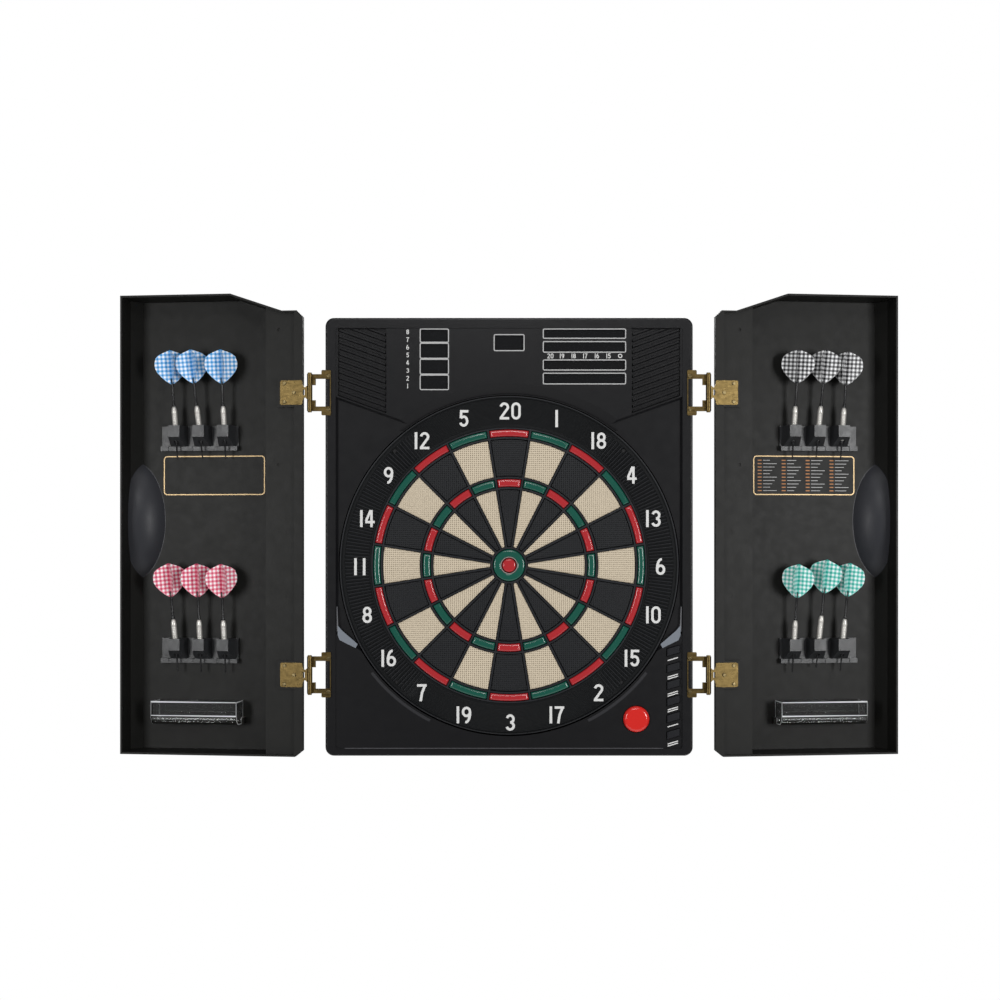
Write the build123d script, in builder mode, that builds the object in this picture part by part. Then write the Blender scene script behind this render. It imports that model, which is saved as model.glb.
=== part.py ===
from build123d import *
import os
from math import asin, cos, degrees, radians, sin

# Electronic dartboard in a wall cabinet with two doors, with the doors swung open.
# Frame: X to the right, Y towards the wall, Z up. The origin is on the wall plane, on the
# bull's-eye axis. Depths named "front" count from the wall towards the player, along -Y.

os.makedirs("parts", exist_ok=True)

# ---------------------------------------------------------------- driving dimensions (mm)
HOUSING_W = 463.0
HOUSING_TOP = 312.0
HOUSING_BOTTOM = -240.0
HOUSING_FRONT = 78.0
HOUSING_CORNER = 11.0
REAR_FRONT = 30.0
WALL = 2.5

BORDER = 13.0
BORDER_BOTTOM = 9.0
FIELD_FRONT = 77.0
SIDE_FRONT = 72.5
OPENING_R = 215.3
COLLAR_R = 231.5

SECTORS = 20
WEB = 2.2
WEB_GAP = 0.6
DOUBLE_R = (162.5, 171.5)
TREBLE_R = (99.1, 109.1)
BULL_R = 20.2
INNER_BULL_R = 9.0
WEB_BACK = 66.0
WEB_FRONT = 75.0
SEGMENT_BACK = 65.5
SINGLE_FRONT = 73.5
SCORING_FRONT = 75.6
RING_FRONT = 74.4

BUTTON_X, BUTTON_Z, BUTTON_R = 160.3, -193.6, 16.5
KEY_Z = (-107.5, -128.4, -149.4, -170.3, -191.3, -212.3)
KEY_X = (199.0, 215.0)
KEY_H = 9.5
KEY_SLOPE = 0.3

HINGE_X = 250.6
HINGE_FRONT = 82.0
HINGE_Z = (217.4, -137.7)
LEAF = 1.6
PIN_R = 1.5
KNUCKLE_R = 3.4
OPEN_BACK = 7.0

DOOR_U = (9.0, 247.5)
DOOR_DEPTH = 50.0
DOOR_WALL = 2.5
DOOR_BOTTOM = -241.0
DOOR_SHOULDER = 321.0
DOOR_CROWN = 343.7
RIM_W = -0.4
PANEL_W = DOOR_DEPTH - DOOR_WALL

DART_U = (119.5, 151.8, 184.0)
DART_LENGTH = 141.0
DART_SETS_Z = (136.0, -138.5)
DART_LEAN_OUT = 5.5
BARREL_R = 3.6
VANE = 0.4

HOUSING_MID_Z = (HOUSING_TOP + HOUSING_BOTTOM) / 2
HOUSING_H = HOUSING_TOP - HOUSING_BOTTOM
INNER_W = HOUSING_W - 2 * WALL
INNER_H = HOUSING_H - 2 * WALL
EDGE_X = HOUSING_W / 2
FIELD_X = EDGE_X - BORDER
FIELD_TOP = HOUSING_TOP - BORDER
FIELD_BOTTOM = HOUSING_BOTTOM + BORDER_BOTTOM

# Display windows: (left, bottom, right, top) in X and Z.
LEFT_ROWS = (298.5, 280.5, 260.3, 240.4, 220.8)
WINDOWS = [(-112.7, low, -75.7, high) for high, low in zip(LEFT_ROWS, LEFT_ROWS[1:])]
WINDOWS += [(-19.5, 269.9, 19.5, 291.4)]
WINDOWS += [(42.4, low, 147.5, high) for low, high in ((285.5, 298.5), (268, 282.6), (245.5, 259.5), (228, 242.8))]
WINDOW_MARGIN = 1.3

# Pillars where the housing screws join the two shells, as (X, Z).
PILLARS = [(side * x, z) for side in (-1, 1) for x, z in ((206, 290), (224.6, 115), (224.6, -85), (130, -228))]
RING_SCREW_R = 204.7
RING_SCREWS = [(RING_SCREW_R * cos(radians(a)), RING_SCREW_R * sin(radians(a))) for a in (45, 135, 226, 314)]


def front(depth):
    """Sketch plane facing the player, this far in front of the wall; its axes are X and Z."""
    return Plane.XZ.offset(depth)


def save(piece, name):
    """Label a finished piece and write it as one STEP file."""
    piece.label = name
    export_step(piece, f"parts/{name}.step")


def turned(piece, angle):
    """Copy of a piece turned clockwise about the bull's-eye axis, as the player sees it."""
    return piece.rotate(Axis.Y, angle)


def mirrored(piece):
    """The right-hand twin of a left-hand piece."""
    return piece.mirror(Plane.YZ)


# ---------------------------------------------------------------- rear shell
KEYHOLES = [(-152.4, 250.0), (152.4, 250.0)]
KEYHOLE_R = 4.5
BATTERY_X, BATTERY_Z = -125.0, -150.0
GRILLE_X, GRILLE_Z = 125.0, -150.0
SCREW_HEAD_FRONT = 18.0
JACK_X, JACK_FRONT = 60.0, 15.0

with BuildPart() as rear_shell:
    with BuildSketch(front(0)):
        with Locations((0, HOUSING_MID_Z)):
            RectangleRounded(HOUSING_W, HOUSING_H, HOUSING_CORNER)
    extrude(amount=REAR_FRONT)
    with BuildSketch(front(WALL)):
        with Locations((0, HOUSING_MID_Z)):
            RectangleRounded(INNER_W, INNER_H, HOUSING_CORNER - WALL)
    extrude(amount=REAR_FRONT - WALL, mode=Mode.SUBTRACT)
    with BuildSketch(front(WALL)):
        with Locations(*PILLARS):
            Circle(5.0)
    extrude(amount=REAR_FRONT - WALL)
    with BuildSketch(front(0)):
        with Locations(*PILLARS):
            Circle(3.4)
    extrude(amount=SCREW_HEAD_FRONT, mode=Mode.SUBTRACT)
    with BuildSketch(front(0)):
        with Locations(*PILLARS):
            Circle(1.8)
        with Locations(*KEYHOLES):
            Circle(KEYHOLE_R)
        with Locations(*[(x, z + 6) for x, z in KEYHOLES]):
            Rectangle(4.6, 12)
        with Locations((GRILLE_X, GRILLE_Z)):
            with HexLocations(3.4, 5, 5):
                Circle(1.6)
    extrude(amount=REAR_FRONT, mode=Mode.SUBTRACT)
    # Battery bay: a box standing inside, open at the back, with a shallow rebate for its door.
    with BuildSketch(front(0)):
        with Locations((BATTERY_X, BATTERY_Z)):
            Rectangle(66, 74)
    extrude(amount=20)
    with BuildSketch(front(0)):
        with Locations((BATTERY_X, BATTERY_Z)):
            Rectangle(62, 70)
    extrude(amount=2.4, mode=Mode.SUBTRACT)
    with BuildSketch(front(0)):
        with Locations((BATTERY_X, BATTERY_Z + 7)):
            Rectangle(55, 47)
    extrude(amount=18, mode=Mode.SUBTRACT)
    # Hole for the supply jack in the bottom wall.
    with BuildSketch(Plane.XY.offset(HOUSING_BOTTOM)):
        with Locations((JACK_X, -JACK_FRONT)):
            Circle(5.0)
    extrude(amount=WALL, mode=Mode.SUBTRACT)
save(rear_shell.part, "rear_shell")

with BuildPart() as battery_door:
    with BuildSketch(front(0.3)):
        with Locations((BATTERY_X, BATTERY_Z + 6)):
            RectangleRounded(61, 57, 1.5)
    extrude(amount=1.8)
    with BuildSketch(front(0.3)):
        with Locations(*[(BATTERY_X, BATTERY_Z + 6 + 3 * i) for i in range(-2, 3)]):
            Rectangle(24, 1.2)
    extrude(amount=0.6, mode=Mode.SUBTRACT)
save(battery_door.part, "battery_door")

CELL_R, CELL_LENGTH, CELL_PITCH = 7.0, 49.0, 14.6
with BuildPart() as batteries:
    for row in (-1, 0, 1):
        cell_plane = Plane(origin=(BATTERY_X - 25.5, -10.4, BATTERY_Z + 7 + row * CELL_PITCH), z_dir=(1, 0, 0))
        with BuildSketch(cell_plane):
            Circle(CELL_R)
        extrude(amount=CELL_LENGTH)
        with BuildSketch(cell_plane.offset(CELL_LENGTH)):
            Circle(2.6)
        extrude(amount=1.4)
save(batteries.part, "batteries")

with BuildPart() as speaker:
    with BuildSketch(front(WALL)):
        with Locations((GRILLE_X, GRILLE_Z)):
            Circle(25.0)
    extrude(amount=4)
    with BuildSketch(front(WALL)):
        with Locations((GRILLE_X, GRILLE_Z)):
            Circle(21.0)
    extrude(amount=2.5, mode=Mode.SUBTRACT)
    with BuildSketch(front(WALL + 4)):
        with Locations((GRILLE_X, GRILLE_Z)):
            Circle(14.0)
    extrude(amount=8)
save(speaker.part, "speaker")

with BuildPart() as power_jack:
    with BuildSketch(Plane.XY.offset(HOUSING_BOTTOM)):
        with Locations((JACK_X, -JACK_FRONT)):
            Circle(4.9)
            Circle(2.8, mode=Mode.SUBTRACT)
    extrude(amount=WALL)
    with BuildSketch(Plane.XY.offset(HOUSING_BOTTOM + WALL)):
        with Locations((JACK_X, -JACK_FRONT)):
            Rectangle(14, 14)
            Circle(2.8, mode=Mode.SUBTRACT)
    extrude(amount=9)
    with BuildSketch(Plane.XY.offset(HOUSING_BOTTOM + WALL + 9)):
        with Locations((JACK_X, -JACK_FRONT)):
            Rectangle(14, 14)
    extrude(amount=2)
    with BuildSketch(Plane.XY.offset(HOUSING_BOTTOM + 2)):
        with Locations((JACK_X, -JACK_FRONT)):
            Circle(1.0)
    extrude(amount=WALL + 9 - 2)
save(power_jack.part, "power_jack")

# ---------------------------------------------------------------- front bezel
# The side fields lie lower than the display deck and the bottom field. Their slanted ends run
# from the border into the ring opening.
RIB_SLOPE = -0.359
RIB_TOP_LEFT = (-FIELD_X, 212.7)
STEP_LEFT = (-FIELD_X, -85.9)


def side_field(side):
    """Outline of one low side field; side is -1 for left and 1 for right."""
    points = [
        RIB_TOP_LEFT,
        (-110.0, 174.1),
        (-100.0, 150.0),
        (-100.0, -60.0),
        (-165.0, -123.4),
        STEP_LEFT,
    ]
    return [(-side * x, z) for x, z in points]


def rib_block(side, margin):
    """Outline of one ribbed block beside the display deck."""
    slope_end = 191.8
    points = [
        (-215.5 + margin, FIELD_TOP - margin),
        (-154.7 - margin, FIELD_TOP - margin),
        (-154.7 - margin, slope_end + margin),
        (-215.5 + margin, slope_end - RIB_SLOPE * 60.8 + margin),
    ]
    return [(-side * x, z) for x, z in points]


def rib_outlines(side):
    """Slanted bars that fill a ribbed block."""
    pitch, height, count = 7.5, 4.4, 17
    left, right = -216.5, -153.7
    bars = []
    for i in range(count):
        z = FIELD_TOP + 16 - pitch * i
        drop = RIB_SLOPE * (right - left)
        points = [(left, z), (right, z + drop), (right, z + drop - height), (left, z - height)]
        bars.append([(-side * x, h) for x, h in points])
    return bars


def slanted_bar(z, grow):
    """Outline of one key, rising to the right; grow widens it all round for its slot."""
    half = KEY_H / 2 + grow
    left, right = KEY_X[0] - grow, KEY_X[1] + grow
    rise = KEY_SLOPE * (KEY_X[1] - KEY_X[0]) / 2
    return [(left, z - rise - half), (right, z + rise - half), (right, z + rise + half), (left, z - rise + half)]


with BuildPart() as deck_bevel:
    with BuildSketch(front(71.0)):
        Circle(216.3)
    with BuildSketch(front(FIELD_FRONT + 0.01)):
        Circle(229.0)
    loft()
    with BuildSketch(front(70.0)):
        with Locations((0, 270)):
            Rectangle(2 * 153.0, 200)
    extrude(amount=10, mode=Mode.INTERSECT)

with BuildPart() as front_bezel:
    with BuildSketch(front(REAR_FRONT)):
        with Locations((0, HOUSING_MID_Z)):
            RectangleRounded(HOUSING_W, HOUSING_H, HOUSING_CORNER)
    extrude(amount=HOUSING_FRONT - REAR_FRONT)
    fillet(front_bezel.faces().sort_by(Axis.Y)[0].edges(), 2.5)
    with BuildSketch(front(HOUSING_FRONT)):
        with Locations((0, (FIELD_TOP + FIELD_BOTTOM) / 2)):
            RectangleRounded(2 * FIELD_X, FIELD_TOP - FIELD_BOTTOM, 4)
    extrude(amount=-(HOUSING_FRONT - FIELD_FRONT), mode=Mode.SUBTRACT)
    with BuildSketch(front(FIELD_FRONT)):
        for side in (-1, 1):
            with BuildLine():
                Polyline(*side_field(-side), close=True)
            make_face()
    extrude(amount=-(FIELD_FRONT - SIDE_FRONT), taper=30, mode=Mode.SUBTRACT)
    # The whole inside, then the deeper pockets behind the raised fields.
    with BuildSketch(front(REAR_FRONT)):
        with Locations((0, HOUSING_MID_Z)):
            RectangleRounded(INNER_W, INNER_H, HOUSING_CORNER - WALL)
    extrude(amount=62.0 - REAR_FRONT, mode=Mode.SUBTRACT)
    with BuildSketch(front(62.0)):
        with Locations((0, HOUSING_MID_Z)):
            Rectangle(INNER_W - 10, INNER_H - 10)
        Circle(COLLAR_R, mode=Mode.SUBTRACT)
    extrude(amount=69.8 - 62.0, mode=Mode.SUBTRACT)
    with BuildSketch(front(69.8)):
        with Locations((0, 259)):
            Rectangle(2 * 151.0, 88)
        with Locations((0, -196)):
            Rectangle(2 * 192.0, 70)
        Circle(COLLAR_R, mode=Mode.SUBTRACT)
    extrude(amount=74.0 - 69.8, mode=Mode.SUBTRACT)
    with BuildSketch(front(REAR_FRONT)):
        Circle(OPENING_R)
        for left, bottom, right, top in WINDOWS:
            with Locations(((left + right) / 2, (bottom + top) / 2)):
                Rectangle(right - left - 2 * WINDOW_MARGIN, top - bottom - 2 * WINDOW_MARGIN)
        with Locations((BUTTON_X, BUTTON_Z)):
            Circle(BUTTON_R + 0.7)
        for z in KEY_Z:
            with BuildLine():
                Polyline(*slanted_bar(z, 0.6), close=True)
            make_face()
    extrude(amount=HOUSING_FRONT, mode=Mode.SUBTRACT)
    add(deck_bevel.part, mode=Mode.SUBTRACT)
    # Sunken strip that carries the keys.
    with BuildSketch(front(FIELD_FRONT)):
        with Locations(((KEY_X[0] + KEY_X[1]) / 2 + 0.5, -164)):
            Rectangle(19.5, 2 * 66.5)
    extrude(amount=-1.0, mode=Mode.SUBTRACT)
    # Ribbed blocks: a sunken bed with slanted ribs.
    with BuildSketch(front(FIELD_FRONT)):
        for side in (-1, 1):
            with BuildLine():
                Polyline(*rib_block(-side, 0), close=True)
            make_face()
    extrude(amount=-3.0, mode=Mode.SUBTRACT)
    for side in (-1, 1):
        with BuildSketch(front(FIELD_FRONT - 3.0)):
            for bar in rib_outlines(-side):
                with BuildLine():
                    Polyline(*bar, close=True)
                make_face()
            with BuildSketch(mode=Mode.INTERSECT):
                with BuildLine():
                    Polyline(*rib_block(-side, 0.4), close=True)
                make_face()
        extrude(amount=2.8, taper=18)
    # Guide cup and floor for the round button and its spring.
    with BuildSketch(front(58.0)):
        with Locations((BUTTON_X, BUTTON_Z)):
            Circle(BUTTON_R + 3.2)
    extrude(amount=17.0)
    with BuildSketch(front(60.0)):
        with Locations((BUTTON_X, BUTTON_Z)):
            Circle(BUTTON_R + 0.7)
    extrude(amount=20.0, mode=Mode.SUBTRACT)
    # Screw pillars behind the front.
    with BuildSketch(front(REAR_FRONT)):
        with Locations(*PILLARS):
            Circle(5.0)
    extrude(amount=40.5)
    with BuildSketch(front(REAR_FRONT)):
        with Locations(*PILLARS):
            Circle(1.4)
    extrude(amount=14.0, mode=Mode.SUBTRACT)
    # Pilot holes for the hinge screws, in the solid border.
    with BuildSketch(front(HOUSING_FRONT)):
        for side in (-1, 1):
            for hinge_z in HINGE_Z:
                with Locations((side * 227.3, hinge_z - 21), (side * 227.3, hinge_z + 21)):
                    Circle(1.3)
    extrude(amount=-7.0, mode=Mode.SUBTRACT)
save(front_bezel.part, "front_bezel")

# ---------------------------------------------------------------- housing screws
with BuildPart() as housing_screws:
    with BuildSketch(front(15.8)):
        with Locations(*PILLARS):
            Circle(3.0)
    extrude(amount=SCREW_HEAD_FRONT - 15.8)
    with BuildSketch(front(SCREW_HEAD_FRONT)):
        with Locations(*PILLARS):
            Circle(1.4)
    extrude(amount=24.0)
    with BuildSketch(front(15.8)):
        with Locations(*PILLARS):
            Rectangle(3.2, 0.8)
            Rectangle(0.8, 3.2)
    extrude(amount=1.2, mode=Mode.SUBTRACT)
    with BuildSketch(front(57.4)):
        with Locations(*RING_SCREWS):
            Circle(1.4)
    extrude(amount=70.4 - 57.4)
    with BuildSketch(front(70.4)):
        with Locations(*RING_SCREWS):
            Circle(2.6)
    extrude(amount=1.6)
save(housing_screws.part, "housing_screws")

# ---------------------------------------------------------------- number ring and target
with BuildPart() as catch_ring:
    with BuildSketch(Plane.XY):
        with BuildLine():
            Polyline(
                (174.6, -RING_FRONT + 3.4),
                (174.6, -RING_FRONT),
                (210.6, -RING_FRONT),
                (211.4, -RING_FRONT - 1.0),
                (213.0, -RING_FRONT - 1.0),
                (213.8, -RING_FRONT),
                (213.8, -64.0),
                (210.8, -64.0),
                (210.8, -RING_FRONT + 3.4),
                close=True,
            )
        make_face()
    revolve(axis=Axis.Y)
    with BuildSketch(front(60.0)):
        with Locations(*RING_SCREWS):
            Circle(4.6)
    extrude(amount=72.0 - 60.0)
    with BuildSketch(front(60.0)):
        with Locations(*RING_SCREWS):
            Circle(1.7)
    extrude(amount=20.0, mode=Mode.SUBTRACT)
    with BuildSketch(front(70.4)):
        with Locations(*RING_SCREWS):
            Circle(2.9)
    extrude(amount=10.0, mode=Mode.SUBTRACT)
save(catch_ring.part, "catch_ring")

CLEAR = WEB / 2 + WEB_GAP
WEB_RINGS = [
    (BULL_R + WEB_GAP, BULL_R + WEB_GAP + WEB),
    (TREBLE_R[0] - WEB_GAP - WEB, TREBLE_R[0] - WEB_GAP),
    (TREBLE_R[1] + WEB_GAP, TREBLE_R[1] + WEB_GAP + WEB),
    (DOUBLE_R[0] - WEB_GAP - WEB, DOUBLE_R[0] - WEB_GAP),
    (DOUBLE_R[1] + WEB_GAP, 174.0),
]
BLADE = (BULL_R + WEB_GAP + WEB / 2, DOUBLE_R[1] + WEB_GAP + WEB / 2)

with BuildPart() as spider_grid:
    with BuildSketch(front(WEB_BACK)):
        for inner, outer in WEB_RINGS:
            with BuildSketch():
                Circle(outer)
                Circle(inner, mode=Mode.SUBTRACT)
        with PolarLocations((BLADE[0] + BLADE[1]) / 2, SECTORS, start_angle=90 + 180 / SECTORS):
            Rectangle(BLADE[1] - BLADE[0], WEB)
    extrude(amount=WEB_FRONT - WEB_BACK)
save(spider_grid.part, "spider_grid")


def sector_corner(radius, side):
    """Corner of the top sector, held the clearance away from the web blade beside it."""
    angle = radians(90 + side * (180 / SECTORS - degrees(asin(CLEAR / radius))))
    return (radius * cos(angle), radius * sin(angle))


def top_sector(radii, face_front):
    """Flat-topped segment of the top sector between two radii."""
    inner, outer = radii
    with BuildPart() as sector:
        with BuildSketch(front(SEGMENT_BACK)):
            with BuildLine():
                ThreePointArc(sector_corner(outer, 1), (0, outer), sector_corner(outer, -1))
                Line(sector_corner(outer, -1), sector_corner(inner, -1))
                ThreePointArc(sector_corner(inner, -1), (0, inner), sector_corner(inner, 1))
                Line(sector_corner(inner, 1), sector_corner(outer, 1))
            make_face()
        extrude(amount=face_front - SEGMENT_BACK)
        rim = sector.faces().sort_by(Axis.Y)[0].edges()
        fillet(rim, 3.2 if face_front == SCORING_FRONT else 1.0)
    return sector.part


def sector_group(base, first):
    """Every second sector, starting with the given one."""
    copies = [turned(base, k * 360 / SECTORS) for k in range(first, SECTORS, 2)]
    with BuildPart() as group:
        add(copies)
    return group.part


SINGLE_OUTER_R = (TREBLE_R[1] + 2 * CLEAR, DOUBLE_R[0] - 2 * CLEAR)
SINGLE_INNER_R = (BULL_R + 2 * CLEAR, TREBLE_R[0] - 2 * CLEAR)
double_top = top_sector(DOUBLE_R, SCORING_FRONT)
treble_top = top_sector(TREBLE_R, SCORING_FRONT)
outer_single_top = top_sector(SINGLE_OUTER_R, SINGLE_FRONT)
inner_single_top = top_sector(SINGLE_INNER_R, SINGLE_FRONT)
for shape, ring, even_colour, odd_colour in (
    (double_top, "doubles", "red", "green"),
    (treble_top, "trebles", "red", "green"),
    (outer_single_top, "outer_singles", "black", "cream"),
    (inner_single_top, "inner_singles", "black", "cream"),
):
    save(sector_group(shape, 0), f"{ring}_{even_colour}")
    save(sector_group(shape, 1), f"{ring}_{odd_colour}")

with BuildPart() as outer_bull:
    with BuildSketch(front(SEGMENT_BACK)):
        Circle(BULL_R)
        Circle(INNER_BULL_R + WEB_GAP, mode=Mode.SUBTRACT)
    extrude(amount=SCORING_FRONT - SEGMENT_BACK)
    fillet(outer_bull.faces().sort_by(Axis.Y)[0].edges(), 3.0)
save(outer_bull.part, "outer_bull")

with BuildPart() as inner_bull:
    with BuildSketch(front(SEGMENT_BACK)):
        Circle(INNER_BULL_R)
    extrude(amount=SCORING_FRONT - SEGMENT_BACK)
    fillet(inner_bull.faces().sort_by(Axis.Y)[0].edges(), 3.0)
save(inner_bull.part, "inner_bull")

PAD_FRONT, MATRIX_FRONT, BOARD_FRONT, BOARD_BACK = 63.8, 58.0, 57.4, 49.4


def disc(radius, back, face_front):
    """Plain round layer behind the target."""
    with BuildPart() as layer:
        with BuildSketch(front(back)):
            Circle(radius)
        extrude(amount=face_front - back)
    return layer.part


save(disc(176.0, MATRIX_FRONT, PAD_FRONT), "segment_pad")
save(disc(180.0, BOARD_FRONT, MATRIX_FRONT), "contact_matrix")
with BuildPart() as backing_board:
    with BuildSketch(front(BOARD_BACK)):
        Circle(213.0)
    extrude(amount=BOARD_FRONT - BOARD_BACK)
    with BuildSketch(front(BOARD_BACK)):
        with Locations(*RING_SCREWS):
            Circle(1.5)
    extrude(amount=BOARD_FRONT - BOARD_BACK, mode=Mode.SUBTRACT)
save(backing_board.part, "backing_board")

# ---------------------------------------------------------------- electronics
with BuildPart() as main_board:
    with BuildSketch(front(36.0)):
        with Locations((20, -150)):
            Rectangle(110, 60)
    extrude(amount=1.6)
    with BuildSketch(front(37.6)):
        with Locations((5, -150), (45, -140)):
            Rectangle(16, 16)
        with Locations((-20, -165), (-20, -135), (45, -168)):
            Rectangle(8, 5)
    extrude(amount=2.4)
save(main_board.part, "main_board")

with BuildPart() as display_board:
    with BuildSketch(front(60.0)):
        with Locations((16, 259)):
            Rectangle(274, 92)
        Circle(COLLAR_R + 4, mode=Mode.SUBTRACT)
    extrude(amount=1.6)
    with BuildSketch(front(61.6)):
        for left, bottom, right, top in WINDOWS:
            with Locations(((left + right) / 2, (bottom + top) / 2 + 0.6)):
                Rectangle(right - left - 0.8, top - bottom - 2.4)
        Circle(COLLAR_R + 4, mode=Mode.SUBTRACT)
    extrude(amount=10.0)
save(display_board.part, "display_board")

with BuildPart() as display_lens:
    with BuildSketch(front(72.4)):
        with Locations((16, 259)):
            Rectangle(270, 82)
        Circle(COLLAR_R + 0.5, mode=Mode.SUBTRACT)
    extrude(amount=1.6)
save(display_lens.part, "display_lens")

# ---------------------------------------------------------------- button and keys
KEY_BACK, MAT_BACK, MAT_FRONT = 63.2, 60.0, 61.5
with BuildPart() as key_mat:
    with BuildSketch(front(MAT_BACK)):
        with Locations((207.5, -160)):
            Rectangle(20, 124)
    extrude(amount=MAT_FRONT - MAT_BACK)
save(key_mat.part, "key_mat")

for number, z in enumerate(KEY_Z, start=1):
    with BuildPart() as key:
        with BuildSketch(front(KEY_BACK)):
            with BuildLine():
                Polyline(*slanted_bar(z, 0), close=True)
            make_face()
        extrude(amount=78.4 - KEY_BACK)
        fillet(key.faces().sort_by(Axis.Y)[0].edges(), 1.0)
    save(key.part, f"key_{number}")

with BuildPart() as red_button:
    with BuildSketch(front(70.0)):
        with Locations((BUTTON_X, BUTTON_Z)):
            Circle(BUTTON_R)
    extrude(amount=12.6)
    fillet(red_button.faces().sort_by(Axis.Y)[0].edges(), 5.0)
    with BuildSketch(front(70.0)):
        with Locations((BUTTON_X, BUTTON_Z)):
            Circle(9.0)
    extrude(amount=1.5, mode=Mode.SUBTRACT)
save(red_button.part, "red_button")

SPRING_R, SPRING_WIRE, SPRING_TURNS, SPRING_PITCH = 7.0, 0.6, 4, 2.4
with BuildPart() as button_spring:
    with BuildLine():
        coil = Helix(
            pitch=SPRING_PITCH,
            height=SPRING_PITCH * SPRING_TURNS,
            radius=SPRING_R,
            center=(BUTTON_X, -60.8, BUTTON_Z),
            direction=(0, -1, 0),
        )
    with BuildSketch(Plane(origin=coil @ 0, z_dir=coil % 0)):
        Circle(SPRING_WIRE)
    sweep(is_frenet=True)
save(button_spring.part, "button_spring")

# ---------------------------------------------------------------- doors
# Door frame of the left door: u runs from the hinge axis across the door, w from the rim into
# the door, and Z is up. The door stands open, a little past flat.
ALONG = Vector(-cos(radians(OPEN_BACK)), sin(radians(OPEN_BACK)), 0)
INWARD = Vector(sin(radians(OPEN_BACK)), cos(radians(OPEN_BACK)), 0)
AXIS_POINT = Vector(-HINGE_X, -HINGE_FRONT, 0)


def door_plane(w=0.0):
    """Sketch plane parallel to the door's rim, w behind it; its axes are u and Z."""
    return Plane(origin=AXIS_POINT + INWARD * (RIM_W + w), x_dir=ALONG, z_dir=INWARD)


def door_point(u, w, z):
    """Point of the left door in the row's frame."""
    return AXIS_POINT + ALONG * u + INWARD * (RIM_W + w) + Vector(0, 0, z)


def door_floor(z):
    """Horizontal sketch plane at height z whose axes are u and -w."""
    return Plane(origin=door_point(0, 0, z), x_dir=ALONG, z_dir=(0, 0, 1))


def door_outline(inset):
    """Outline of the door seen from the front, in u and Z."""
    near, far = DOOR_U[0] + inset, DOOR_U[1] - inset
    bottom, crown = DOOR_BOTTOM + inset, DOOR_CROWN - inset
    shoulder = DOOR_SHOULDER - inset
    return [
        (near + 10, bottom),
        (far, bottom),
        (far, crown),
        (103, crown),
        (36, shoulder),
        (near + 8, shoulder),
        (near, shoulder - 8),
        (near, bottom + 8),
    ]


LEDGE_U, LEDGE_W = 58.0, 5.0
STEP_U = 70.0
# How far the step's outer face lies towards the hinge at equal wall thickness.
STEP_SHIFT = 1.9
BEVEL_U, BEVEL_W = 12.0, 18.0
OUTER_SECTION = [
    (DOOR_U[0], 0),
    (DOOR_U[0], LEDGE_W + DOOR_WALL),
    (LEDGE_U - STEP_SHIFT, LEDGE_W + DOOR_WALL),
    (STEP_U - STEP_SHIFT, DOOR_DEPTH),
    (DOOR_U[1] - BEVEL_U, DOOR_DEPTH),
    (DOOR_U[1], DOOR_DEPTH - BEVEL_W),
    (DOOR_U[1], 0),
]
INNER_SECTION = [
    (DOOR_U[0] + 11, -1),
    (DOOR_U[0] + 11, LEDGE_W),
    (LEDGE_U, LEDGE_W),
    (STEP_U, PANEL_W),
    (DOOR_U[1] - BEVEL_U - 1.2, PANEL_W),
    (DOOR_U[1] - DOOR_WALL, DOOR_DEPTH - BEVEL_W - 1),
    (DOOR_U[1] - DOOR_WALL, -1),
]
DOOR_HEIGHT = DOOR_CROWN - DOOR_BOTTOM

# Finger recess: a body of revolution about an upright line behind the free edge.
GRIP_Z, GRIP_AXIS_W = 57.0, 70.0
GRIP_R, GRIP_HALF = 46.0, 84.0


def grip_body(grow):
    """Lens-shaped body of the finger recess; grow is added all round."""
    radius, half = GRIP_R + grow, GRIP_HALF + grow
    section = Plane(origin=door_point(DOOR_U[1], GRIP_AXIS_W, GRIP_Z), x_dir=ALONG, z_dir=INWARD)
    with BuildPart() as body:
        with BuildSketch(section):
            with BuildLine():
                EllipticalCenterArc((0, 0), radius, half, start_angle=-90, arc_size=180)
                Line((0, half), (0, -half))
            make_face()
        revolve(axis=Axis(section.origin, (0, 0, 1)))
    return body.part


with BuildPart() as door_cavity:
    with BuildSketch(door_plane(-1)):
        with BuildLine():
            Polyline(*door_outline(DOOR_WALL), close=True)
        make_face()
    extrude(amount=DOOR_DEPTH)
    with BuildSketch(door_floor(DOOR_BOTTOM)):
        with BuildLine():
            Polyline(*[(u, -w) for u, w in INNER_SECTION], close=True)
        make_face()
    extrude(amount=DOOR_HEIGHT, mode=Mode.INTERSECT)
    add(grip_body(DOOR_WALL), mode=Mode.SUBTRACT)
    for hinge_z in HINGE_Z:
        with BuildSketch(door_plane(-1)):
            with Locations((25, hinge_z)):
                Rectangle(32, 36)
        extrude(amount=LEDGE_W + 2, mode=Mode.SUBTRACT)

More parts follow.
